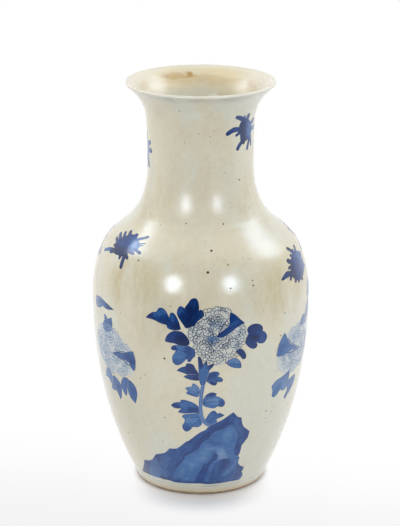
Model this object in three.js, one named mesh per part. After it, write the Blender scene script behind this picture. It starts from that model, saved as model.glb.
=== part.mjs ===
// A tall porcelain flower vase: turned foot, ovoid body, high rounded shoulder, waisted neck, trumpet mouth.
// A vase this size is thrown in sections, which are luted together edge to edge with liquid clay (slip).
// Millimetres, +Z up. The origin is the centre of the foot's underside, and the painted front faces -Y.

import * as THREE from 'three';

// Heights up the outside, each one counted from the level before it
const FOOT_TO_BELLY = 202;
const BELLY_TO_SHOULDER = 57;
const SHOULDER_TO_NECK_ROOT = 36;
const NECK_ROOT_TO_WAIST = 48;
const WAIST_TO_THROAT = 51;
const THROAT_TO_RIM = 36;

// Outside radii at those levels
const FOOT_RADIUS = 67;
const BELLY_RADIUS = 113.7;
const SHOULDER_RADIUS = 101.2;
const NECK_ROOT_RADIUS = 67;
const WAIST_RADIUS = 55;
const THROAT_RADIUS = 56.5;
const MOUTH_RADIUS = 77.5;

// How fast the outside widens there, as radius gained for each millimetre of height
const FOOT_FLARE = 0.52;
const SHOULDER_SLOPE = -0.53;
const NECK_ROOT_SLOPE = -0.59;
const THROAT_FLARE = 0.1;
const LIP_FLARE = 1.25;

// Thickness of the thrown wall, square to its surface
const FOOT_WALL = 9;
const BELLY_WALL = 5.5;
const SHOULDER_WALL = 5.5;
const NECK_ROOT_WALL = 6;
const NECK_WALL = 4.5;
const LIP_WALL = 3.4;

// The turned foot and the base
const FOOT_RECESS_DEPTH = 6.5;
const BASE_THICKNESS = 5.5;
const FOOT_RIM_WIDTH = 7;
const FOOT_EDGE_ROUND = 1;
const FOOT_RECESS_DRAFT = 1.5;

// The luted joints
const NECK_SEAM_BELOW_ROOT = 5;
const SLIP_LAYER = 1;
const SLIP_BEAD_REACH = 5;
const SLIP_BEAD_DEPTH = 2.6;
const SLIP_BEAD_EDGE = 0.8;
const SLIP_BEAD_CLEARANCE = 0.3;

// How finely the curves are divided
const SEGMENTS = 60;
const RING_SPACING = 15;
const LIP_STEPS = 4;
const EDGE_STEPS = 2;

const bellyHeight = FOOT_TO_BELLY;
const shoulderHeight = bellyHeight + BELLY_TO_SHOULDER;
const neckRootHeight = shoulderHeight + SHOULDER_TO_NECK_ROOT;
const waistHeight = neckRootHeight + NECK_ROOT_TO_WAIST;
const throatHeight = waistHeight + WAIST_TO_THROAT;
const rimHeight = throatHeight + THROAT_TO_RIM;

// The lip ends in a half round, square to the flared wall
const lipRound = LIP_WALL / 2;
const lipSlant = Math.atan(LIP_FLARE);
const lipCentre = new THREE.Vector2(MOUTH_RADIUS - lipRound, rimHeight - lipRound);
const lipOutside = new THREE.Vector2(
  lipCentre.x + lipRound * Math.cos(lipSlant),
  lipCentre.y - lipRound * Math.sin(lipSlant),
);

const footSeam = FOOT_RECESS_DEPTH + BASE_THICKNESS + SLIP_LAYER / 2;
const bellySeam = bellyHeight;
const neckSeam = neckRootHeight - NECK_SEAM_BELOW_ROOT;

// The outside is one smooth curve through these levels
const levels = [
  { height: 0, radius: FOOT_RADIUS, slope: FOOT_FLARE, wall: FOOT_WALL },
  { height: bellyHeight, radius: BELLY_RADIUS, slope: 0, wall: BELLY_WALL },
  { height: shoulderHeight, radius: SHOULDER_RADIUS, slope: SHOULDER_SLOPE, wall: SHOULDER_WALL },
  { height: neckRootHeight, radius: NECK_ROOT_RADIUS, slope: NECK_ROOT_SLOPE, wall: NECK_ROOT_WALL },
  { height: waistHeight, radius: WAIST_RADIUS, slope: 0, wall: NECK_WALL },
  { height: throatHeight, radius: THROAT_RADIUS, slope: THROAT_FLARE, wall: NECK_WALL },
  { height: lipOutside.y, radius: lipOutside.x, slope: LIP_FLARE, wall: LIP_WALL },
];

function spanAt(height) {
  const upper = levels.findIndex((level, index) => index > 0 && height <= level.height);
  const index = upper < 0 ? levels.length - 1 : upper;
  const low = levels[index - 1];
  const high = levels[index];
  const rise = high.height - low.height;
  return { low, high, rise, share: (height - low.height) / rise };
}

// Radius of the outside at a height: a cubic that keeps each level's radius and slope
function outerRadius(height) {
  const { low, high, rise, share: t } = spanAt(height);
  return (
    low.radius * (1 - t) ** 2 * (1 + 2 * t)
    + high.radius * t ** 2 * (3 - 2 * t)
    + rise * low.slope * t * (1 - t) ** 2
    - rise * high.slope * t ** 2 * (1 - t)
  );
}

function outerSlope(height) {
  const { low, high, rise, share: t } = spanAt(height);
  return (
    (6 * t * (1 - t) * (high.radius - low.radius)) / rise
    + low.slope * (1 - t) * (1 - 3 * t)
    - high.slope * t * (2 - 3 * t)
  );
}

function wallThickness(height) {
  const { low, high, share } = spanAt(height);
  return THREE.MathUtils.lerp(low.wall, high.wall, share);
}

// The inside, level with the outside: a slanted wall is wider when it is cut level
function innerRadius(height) {
  return outerRadius(height) - wallThickness(height) * Math.hypot(1, outerSlope(height));
}

// The inside, square to the outside: used where the mouth flares
function insetPoint(height) {
  const slope = outerSlope(height);
  const inset = wallThickness(height) / Math.hypot(1, slope);
  return new THREE.Vector2(outerRadius(height) - inset, height + inset * slope);
}

// Even steps between two heights, both ends included
function evenHeights(from, to) {
  const count = Math.max(1, Math.ceil(Math.abs(to - from) / RING_SPACING));
  return Array.from({ length: count + 1 }, (_, step) => THREE.MathUtils.lerp(from, to, step / count));
}

function arc(centre, radius, fromAngle, toAngle, steps) {
  return Array.from({ length: steps + 1 }, (_, step) => {
    const angle = THREE.MathUtils.lerp(fromAngle, toAngle, step / steps);
    return new THREE.Vector2(
      centre.x + radius * Math.cos(angle),
      centre.y + radius * Math.sin(angle),
    );
  });
}

// Turns an outline about the vase's axis. The outline runs anticlockwise, with the axis on its left.
function turned(name, outline, material) {
  const geometry = new THREE.LatheGeometry(outline, SEGMENTS);
  geometry.rotateX(Math.PI / 2);
  const mesh = new THREE.Mesh(geometry, material);
  mesh.name = name;
  return mesh;
}

function closed(outline) {
  return [...outline, outline[0].clone()];
}

const outerPoint = (height) => new THREE.Vector2(outerRadius(height), height);
const innerPoint = (height) => new THREE.Vector2(innerRadius(height), height);

// Heights of a section's rings between two joints, with a ring at the end of each joint's bead
function sectionHeights(lowSeam, highSeam) {
  const bottom = lowSeam + SLIP_LAYER / 2;
  const top = highSeam - SLIP_LAYER / 2;
  return [bottom, ...evenHeights(bottom + SLIP_BEAD_REACH, top - SLIP_BEAD_REACH), top];
}

// A thrown wall that is cut level at both ends
function wallSection(name, lowSeam, highSeam, material) {
  const heights = sectionHeights(lowSeam, highSeam);
  const outside = heights.map(outerPoint);
  const inside = heights.map(innerPoint).reverse();
  return turned(name, closed([...outside, ...inside]), material);
}

function neckAndMouth(name, material) {
  const bottom = neckSeam + SLIP_LAYER / 2;
  const neckHeights = [bottom, ...evenHeights(bottom + SLIP_BEAD_REACH, throatHeight)];
  const mouthHeights = evenHeights(throatHeight, lipOutside.y).slice(1);
  const outside = [...neckHeights, ...mouthHeights].map(outerPoint);
  const lip = arc(lipCentre, lipRound, -lipSlant, Math.PI - lipSlant, LIP_STEPS).slice(1);
  const mouthInside = mouthHeights.slice(0, -1).reverse().map(insetPoint);
  const neckInside = [...neckHeights].reverse().map(innerPoint);
  return turned(name, closed([...outside, ...lip, ...mouthInside, ...neckInside]), material);
}

// A layer of slip between two cut edges, with the bead that is pushed out and smoothed on the inside
function lutingSlip(name, seam, material) {
  const low = seam - SLIP_LAYER / 2;
  const high = seam + SLIP_LAYER / 2;
  const flank = (height, depth = 0) => (
    new THREE.Vector2(innerRadius(height) - SLIP_BEAD_CLEARANCE - depth, height)
  );
  return turned(name, closed([
    outerPoint(low),
    outerPoint(high),
    flank(high),
    flank(high + SLIP_BEAD_REACH),
    flank(high + SLIP_BEAD_REACH, SLIP_BEAD_EDGE),
    flank(seam, SLIP_BEAD_DEPTH),
    flank(low - SLIP_BEAD_REACH, SLIP_BEAD_EDGE),
    flank(low - SLIP_BEAD_REACH),
    flank(low),
  ]), material);
}

// The lowest joint's bead fills the corner between the wall and the base
function cornerSlip(name, seam, material) {
  const low = seam - SLIP_LAYER / 2;
  const high = seam + SLIP_LAYER / 2;
  const flank = innerRadius(high) - SLIP_BEAD_CLEARANCE;
  const beadTop = high + SLIP_BEAD_REACH;
  const flankTop = innerRadius(beadTop) - SLIP_BEAD_CLEARANCE;
  return turned(name, closed([
    outerPoint(low),
    outerPoint(high),
    new THREE.Vector2(flank, high),
    new THREE.Vector2(flankTop, beadTop),
    new THREE.Vector2(flankTop - SLIP_BEAD_EDGE, beadTop),
    new THREE.Vector2(flank - SLIP_BEAD_REACH, low),
  ]), material);
}

// The base and its foot ring are turned from one piece, with the ring's rim flat on the table
function baseAndFootRing(name, material) {
  const top = footSeam - SLIP_LAYER / 2;
  const rimInside = FOOT_RADIUS - FOOT_RIM_WIDTH;
  const recessCorner = new THREE.Vector2(rimInside - FOOT_RECESS_DRAFT, FOOT_RECESS_DEPTH);
  const insideRound = arc(
    new THREE.Vector2(rimInside + FOOT_EDGE_ROUND, FOOT_EDGE_ROUND),
    FOOT_EDGE_ROUND, Math.PI, Math.PI * 1.5, EDGE_STEPS,
  );
  const outsideRound = arc(
    new THREE.Vector2(outerRadius(FOOT_EDGE_ROUND) - FOOT_EDGE_ROUND, FOOT_EDGE_ROUND),
    FOOT_EDGE_ROUND, Math.PI * 1.5, Math.PI * 2, EDGE_STEPS,
  );
  return turned(name, [
    new THREE.Vector2(0, FOOT_RECESS_DEPTH),
    recessCorner,
    ...insideRound,
    ...outsideRound,
    outerPoint(top),
    new THREE.Vector2(0, top),
  ], material);
}

const glazedPorcelain = new THREE.MeshStandardMaterial({
  name: 'glazed_porcelain', color: 0xd3d0bc, roughness: 0.16, metalness: 0,
});
const slip = new THREE.MeshStandardMaterial({
  name: 'luting_slip', color: 0xdcd6c2, roughness: 0.55, metalness: 0,
});
const footPorcelain = new THREE.MeshStandardMaterial({
  name: 'foot_porcelain', color: 0xc9bd9c, roughness: 0.4, metalness: 0,
});

const vase = new THREE.Group();
vase.name = 'porcelain_vase';
vase.add(
  baseAndFootRing('base_and_foot_ring', footPorcelain),
  cornerSlip('foot_luting_slip', footSeam, slip),
  wallSection('lower_body_section', footSeam, bellySeam, glazedPorcelain),
  lutingSlip('belly_luting_slip', bellySeam, slip),
  wallSection('shoulder_section', bellySeam, neckSeam, glazedPorcelain),
  lutingSlip('neck_luting_slip', neckSeam, slip),
  neckAndMouth('neck_and_mouth_section', glazedPorcelain),
);

export default vase;
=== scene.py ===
"""A blue and white porcelain vase: the glazed skin of its thrown sections, the
cobalt painting under the glaze, and a plain pale studio. Laid out as an add-on,
run as a script."""

import math
import random

import bmesh
import bpy
import numpy as np
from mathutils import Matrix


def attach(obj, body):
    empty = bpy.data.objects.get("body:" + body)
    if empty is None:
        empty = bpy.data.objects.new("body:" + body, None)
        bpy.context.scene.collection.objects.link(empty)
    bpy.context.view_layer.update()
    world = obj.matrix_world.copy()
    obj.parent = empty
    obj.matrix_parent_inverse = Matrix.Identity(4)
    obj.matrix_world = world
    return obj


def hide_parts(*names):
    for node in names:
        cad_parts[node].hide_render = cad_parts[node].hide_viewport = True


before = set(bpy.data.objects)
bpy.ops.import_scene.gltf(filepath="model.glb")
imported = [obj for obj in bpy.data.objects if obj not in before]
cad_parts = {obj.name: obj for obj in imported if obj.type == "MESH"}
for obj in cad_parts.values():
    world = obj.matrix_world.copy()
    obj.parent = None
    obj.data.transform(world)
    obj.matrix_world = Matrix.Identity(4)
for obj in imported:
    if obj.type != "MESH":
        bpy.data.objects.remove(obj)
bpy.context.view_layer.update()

bl_info = {
    "name": "Blue and White Porcelain Vase",
    "version": (1, 0, 0),
    "blender": (4, 5, 0),
    "location": "View3D > Sidebar > Vase",
    "description": "Makes the glazed sections, the cobalt painting and the studio of a porcelain vase",
    "category": "Object",
}

MM = 0.001
FULL_TURN = 2 * math.pi

# The outside of the vase in millimetres, as the frame has it: height, radius, slope, wall
RIM_HEIGHT = 430.0
MOUTH_RADIUS = 77.5
LIP_WALL = 3.4
LIP_ROUND = LIP_WALL / 2
LIP_SLOPE = 1.25
LIP_SLANT = math.atan(LIP_SLOPE)
LIP_CENTRE = (MOUTH_RADIUS - LIP_ROUND, RIM_HEIGHT - LIP_ROUND)
LIP_OUTSIDE = (
    LIP_CENTRE[0] + LIP_ROUND * math.cos(LIP_SLANT),
    LIP_CENTRE[1] - LIP_ROUND * math.sin(LIP_SLANT),
)
LEVELS = np.array((
    (0.0, 67.0, 0.52, 9.0),
    (202.0, 113.7, 0.0, 5.5),
    (259.0, 101.2, -0.53, 5.5),
    (295.0, 67.0, -0.59, 6.0),
    (343.0, 55.0, 0.0, 4.5),
    (394.0, 56.5, 0.1, 4.5),
    (LIP_OUTSIDE[1], LIP_OUTSIDE[0], LIP_SLOPE, LIP_WALL),
))
THROAT_HEIGHT = 394.0
FOOT_SEAM = 12.5
BELLY_SEAM = 202.0
NECK_SEAM = 290.0
SLIP_LAYER = 1.0
BEAD_REACH = 5.0
BEAD_DEPTH = 2.6
BEAD_EDGE = 0.8
BEAD_CLEARANCE = 0.3
FOOT_RIM_WIDTH = 7.0
FOOT_RECESS_DEPTH = 6.5
FOOT_RECESS_DRAFT = 1.5
FOOT_EDGE_ROUND = 1.0
RECESS_ROUND = 1.5
FOOT_BEAD_TOE = 2.0

# The hand-thrown wall: heights over which it begins and ends, pitch of its two sets of throwing
# rings, and half width of the ridge over the neck joint
THROWN_FROM = (2, 22)
THROWN_TO = (405, 424)
RING_PITCH = 9.3
SECOND_RING_PITCH = 14.7
RIDGE_HALF_WIDTH = 2.0

# Rows of facets: the finest spacing, how far it reaches either side of the neck joint and in from
# the ends of a section, how short a step may fall, the least last step, and the spacing inside
FINE_ROW = 0.5
FINE_REACH = 6.0
END_REACH = 1.5
STEP_SLACK = 0.01
LEAST_LAST_STEP = 0.2
INSIDE_ROW = 6.0
INSIDE_END_ROW = 3.0
# Rings of facets on the flat of the recess under the foot, and on top of the base
RECESS_RADII = (0, 8, 20, 32, 44)
BASE_TOP_RADII = (60, 45, 30, 15, 0)
SHARP_EDGE = math.radians(35)

# The painted film: width of the strip of facets along an edge, least and greatest tone, spread
# of a fan of streaks in each radian, and a shift that keeps streaks from repeating in each layer
EDGE_STRIP = 0.35
TONES = (0.02, 1.1)
FAN_SPREAD = 12
LAYER_SHIFT = 31


def outside_at(height):
    """Radius, slope and wall of the vase at a height, for one height or an array of them."""
    height = np.asarray(height, dtype=float)
    index = np.clip(np.searchsorted(LEVELS[:, 0], height, side="right") - 1, 0, len(LEVELS) - 2)
    low = LEVELS[index]
    high = LEVELS[index + 1]
    rise = high[..., 0] - low[..., 0]
    t = (height - low[..., 0]) / rise
    radius = (
        low[..., 1] * (1 - t) ** 2 * (1 + 2 * t)
        + high[..., 1] * t ** 2 * (3 - 2 * t)
        + rise * low[..., 2] * t * (1 - t) ** 2
        - rise * high[..., 2] * t ** 2 * (1 - t)
    )
    slope = (
        6 * t * (1 - t) * (high[..., 1] - low[..., 1]) / rise
        + low[..., 2] * (1 - t) * (1 - 3 * t)
        - high[..., 2] * t * (2 - 3 * t)
    )
    wall = low[..., 3] + t * (high[..., 3] - low[..., 3])
    return radius, slope, wall


# Lengths measured up the curved wall, so that the painting keeps its size on it
WALL_HEIGHTS = np.linspace(0.0, LIP_OUTSIDE[1], 1201)
WALL_LENGTHS = np.concatenate((
    [0.0],
    np.cumsum(np.hypot(np.diff(outside_at(WALL_HEIGHTS)[0]), np.diff(WALL_HEIGHTS))),
))


def smooth_step(value, low, high):
    share = np.clip((value - low) / (high - low), 0, 1)
    return share * share * (3 - 2 * share)


def hand_thrown(azimuth, height):
    """How far the hand-thrown wall stands off the true outline, in millimetres."""
    shape = bpy.context.scene.vase_shape
    away_from_ends = smooth_step(height, *THROWN_FROM) * (1 - smooth_step(height, *THROWN_TO))
    wobble = 0.6 * np.sin(2 * azimuth + 0.6) + 0.4 * np.sin(3 * azimuth + height / 60)
    ripple = (
        np.sin(FULL_TURN * height / RING_PITCH + 1.3 * np.sin(azimuth))
        + 0.8 * np.sin(FULL_TURN * height / SECOND_RING_PITCH + 2 + 0.9 * np.cos(azimuth))
    )
    ridge = np.exp(-((height - NECK_SEAM) / RIDGE_HALF_WIDTH) ** 2) * (1 + 0.3 * np.sin(3 * azimuth + 1))
    thrown = shape.wobble / MM * wobble + shape.throwing_rings / MM * ripple
    return away_from_ends * (thrown + shape.joint_ridge / MM * ridge)


def on_glaze(azimuth, height, lift):
    """Points on the glazed wall, lifted square off it by some millimetres; in metres."""
    radius, slope, _ = outside_at(height)
    square = np.hypot(1, slope)
    radius = radius + hand_thrown(azimuth, height) + lift / square
    return np.stack((
        radius * np.sin(azimuth),
        -radius * np.cos(azimuth),
        height - lift * slope / square,
    ), axis=-1) * MM


def srgb(red, green, blue):
    """A colour given as 0 to 255 on screen, as the linear colour that nodes use."""
    def linear(value):
        value /= 255
        return value / 12.92 if value <= 0.04045 else ((value + 0.055) / 1.055) ** 2.4

    return (linear(red), linear(green), linear(blue), 1.0)


def length_property(name, description, default):
    return bpy.props.FloatProperty(
        name=name, description=description, default=default, unit="LENGTH", precision=5,
    )


def colour_property(name, description, default):
    return bpy.props.FloatVectorProperty(
        name=name, description=description, default=default, size=4, subtype="COLOR", min=0, max=1,
    )


def share_property(name, description, default):
    return bpy.props.FloatProperty(
        name=name, description=description, default=default, subtype="FACTOR", min=0, max=1,
    )


def power_property(name, description, default):
    return bpy.props.FloatProperty(name=name, description=description, default=default, unit="POWER")


class VaseShape(bpy.types.PropertyGroup):
    """Sizes of the glazed skin and of the painted film."""

    turns: bpy.props.IntProperty(
        name="Facets Around", description="Facets round each turned section", default=240, min=24,
    )
    ring_spacing: length_property("Ring Spacing", "Height of a row of facets", 0.0025)
    wobble: length_property("Wobble", "How far the thrown wall is out of round", 0.0002)
    throwing_rings: length_property("Throwing Rings", "Depth of the throwing rings", 0.00002)
    joint_ridge: length_property("Joint Ridge", "Height of the ridge over the neck joint", 0.0003)
    film_lift: length_property("Film Lift", "How far the lowest film stands off the wall", 0.00005)
    film_step: length_property("Film Step", "Lift of each further layer of painting", 0.000008)
    film_thickness: length_property("Film Thickness", "Thickness of the painted film", 0.0003)
    film_cell: length_property("Film Cell", "Size of the facets of a wash", 0.002)


class VaseGlaze(bpy.types.PropertyGroup):
    """Colours of the glaze and of the foot."""

    cool: colour_property("Cool Glaze", "Greyish celadon of the thick glaze", srgb(210, 209, 192))
    warm: colour_property("Warm Glaze", "Buff of the thin glaze", srgb(212, 206, 183))
    stain: colour_property("Tea Stain", "Tea-coloured stain", srgb(194, 182, 149))
    mouth: colour_property("Stained Mouth", "Tan stain inside the mouth", srgb(227, 212, 174))
    # Pale Lip is the colour of the painted highlights on the lip and at the mouth's ends
    lip: colour_property("Pale Lip", "Cleaner glaze on the lip and the mouth's ends", srgb(228, 224, 210))
    ochre: colour_property("Ochre Run", "Strong stain inside the mouth", srgb(176, 138, 72))
    band: colour_property("Foot Band", "Thick pale glaze above the foot ring", srgb(206, 205, 190))
    # Ring Line's grey also paints the shade under the lip
    ring: colour_property("Ring Line", "Grey line round the foot", srgb(126, 136, 134))
    buff: colour_property("Foot Buff", "Buff glaze on the foot ring", srgb(206, 196, 166))
    rim: colour_property("Bare Rim", "Iron-brown bare rim", srgb(142, 110, 74))
    iron: colour_property("Iron", "Iron specks", srgb(58, 44, 32))
    gloss: share_property("Glaze Roughness", "Roughness of the glaze", 0.13)
    neck_gloss: share_property("Neck Glaze Roughness", "Roughness of the neck's duller glaze", 0.25)
    glow: share_property("Glaze Depth Roughness", "Roughness of the glow from under the glaze", 0.27)


class VaseCobalt(bpy.types.PropertyGroup):
    """Colours of the cobalt painting."""

    deep: colour_property("Deep Cobalt", "Pooled cobalt", srgb(0, 32, 80))
    full: colour_property("Full Cobalt", "Full strokes", srgb(10, 58, 124))
    middle: colour_property("Middle Wash", "Middle wash", srgb(60, 106, 160))
    pale: colour_property("Pale Wash", "Thin wash", srgb(130, 154, 184))
    ink: colour_property("Ink Tint", "Greyer tint of some strokes", srgb(38, 46, 96))
    petal: colour_property("Petal White", "Clean glaze left white for the petals", srgb(216, 217, 203))
    pencil: colour_property("Petal Lines", "Fine grey-blue lines of the petals", srgb(52, 73, 98))
    line_width: length_property("Line Width", "Width of the drawn outlines", 0.0005)


class VaseStudio(bpy.types.PropertyGroup):
    """The studio's light, floor and camera."""

    fill: share_property("Fill Light", "Even light from all round", 0.58)
    front_lamp: power_property("Front Lamps", "Power of the glints on the belly and the neck", 6.8)
    front_fill: power_property("Front Fill", "Power of the soft light from the front", 10.4)
    side_box: power_property("Side Boxes", "Power of each large side box", 8.3)
    side_glow: power_property("Side Glow", "Power of the glow at the sides of the glaze", 4.5)
    camera_side: share_property("Camera Side", "Brightness of the studio on the camera's side", 0.012)
    floor: colour_property("Floor", "Plain pale floor", srgb(244, 244, 246))
    lens: bpy.props.FloatProperty(
        name="Lens", description="Focal length", default=144.58, unit="CAMERA",
    )


# Helpers that add nodes

def add_node(tree, kind, sockets=None, **settings):
    made = tree.nodes.new(kind)
    for name, value in settings.items():
        setattr(made, name, value)
    for name, value in (sockets or {}).items():
        if isinstance(value, bpy.types.NodeSocket):
            tree.links.new(value, made.inputs[name])
        else:
            made.inputs[name].default_value = value
    return made


def maths(tree, operation, *values, clamp=False):
    made = add_node(tree, "ShaderNodeMath", dict(enumerate(values)), operation=operation)
    made.use_clamp = clamp
    return made.outputs[0]


def product(tree, first, *others):
    """All the values multiplied together."""
    for other in others:
        first = maths(tree, "MULTIPLY", first, other)
    return first


def stepped(tree, value, low, high, start=0.0, end=1.0):
    """Maps a value smoothly from low and high to start and end."""
    made = add_node(tree, "ShaderNodeMapRange", {
        "Value": value, "From Min": low, "From Max": high, "To Min": start, "To Max": end,
    }, interpolation_type="SMOOTHSTEP")
    return made.outputs[0]


def blended(tree, share, first, second, blend="MIX"):
    made = add_node(tree, "ShaderNodeMix", {0: share, 6: first, 7: second},
                    data_type="RGBA", blend_type=blend)
    return made.outputs[2]


def scaled(tree, vector, scale, offset=(0.0, 0.0, 0.0)):
    made = add_node(tree, "ShaderNodeMapping", {
        "Vector": vector, "Scale": scale, "Location": offset,
    })
    return made.outputs[0]


def noise(tree, vector, scale, detail=2.0, roughness=0.5, distortion=0.0):
    made = add_node(tree, "ShaderNodeTexNoise", {
        "Vector": vector, "Scale": scale, "Detail": detail,
        "Roughness": roughness, "Distortion": distortion,
    })
    return made.outputs[0]


def far_from(tree, place, centre, scale):
    """Distance of a place from a centre, each axis times its scale."""
    offset = [-middle * factor for middle, factor in zip(centre, scale)]
    stretched = scaled(tree, place, scale, offset)
    return add_node(tree, "ShaderNodeVectorMath", {0: stretched}, operation="LENGTH").outputs["Value"]


def ramp(tree, factor, stops):
    made = add_node(tree, "ShaderNodeValToRGB", {"Fac": factor})
    elements = made.color_ramp.elements
    for element, (place, colour) in zip(elements, (stops[0], stops[-1])):
        element.position = place
        element.color = colour
    for place, colour in stops[1:-1]:
        elements.new(place).color = colour
    return made.outputs[0]


def attribute(tree, name):
    return add_node(tree, "ShaderNodeAttribute", attribute_name=name).outputs


def shown_rays(tree):
    """The light path, and 1 for the rays that show what they meet: straight, mirrored or let through."""
    rays = add_node(tree, "ShaderNodeLightPath").outputs
    indirect = maths(tree, "MAXIMUM", rays["Is Glossy Ray"], rays["Is Transmission Ray"])
    return rays, maths(tree, "MAXIMUM", rays["Is Camera Ray"], indirect)


# Stains: centre in metres, how fast each fades along x, y and z, and strength
BODY_STAINS = (
    ((-0.074, -0.086, 0.238), (18.0, 18.0, 24.0), 1.3),
    ((0.086, -0.074, 0.230), (17.0, 17.0, 22.0), 1.3),
    ((-0.050, -0.100, 0.203), (26.0, 20.0, 20.0), 0.9),
    ((-0.052, -0.036, 0.312), (26.0, 26.0, 22.0), 0.9),
    ((0.055, -0.034, 0.312), (26.0, 26.0, 22.0), 0.9),
    ((0.030, -0.050, 0.330), (26.0, 26.0, 18.0), 0.4),
)
MOUTH_RUNS = (
    ((-0.012, 0.065, 0.4222), (280.0, 60.0, 420.0), 0.8),
    ((-0.026, 0.060, 0.4215), (55.0, 30.0, 260.0), 0.5),
    ((-0.004, 0.058, 0.4170), (17.0, 12.0, 190.0), 0.26),
    ((0.060, 0.020, 0.4150), (50.0, 24.0, 90.0), 0.34),
    ((-0.062, 0.012, 0.4150), (60.0, 24.0, 90.0), 0.3),
)
# Centre of the patch where the glaze is greyer, low on the left
GREY_PATCH_CENTRE = (-0.080, -0.055, 0.120)
RING_LINE_HEIGHT = 11.3


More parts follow.
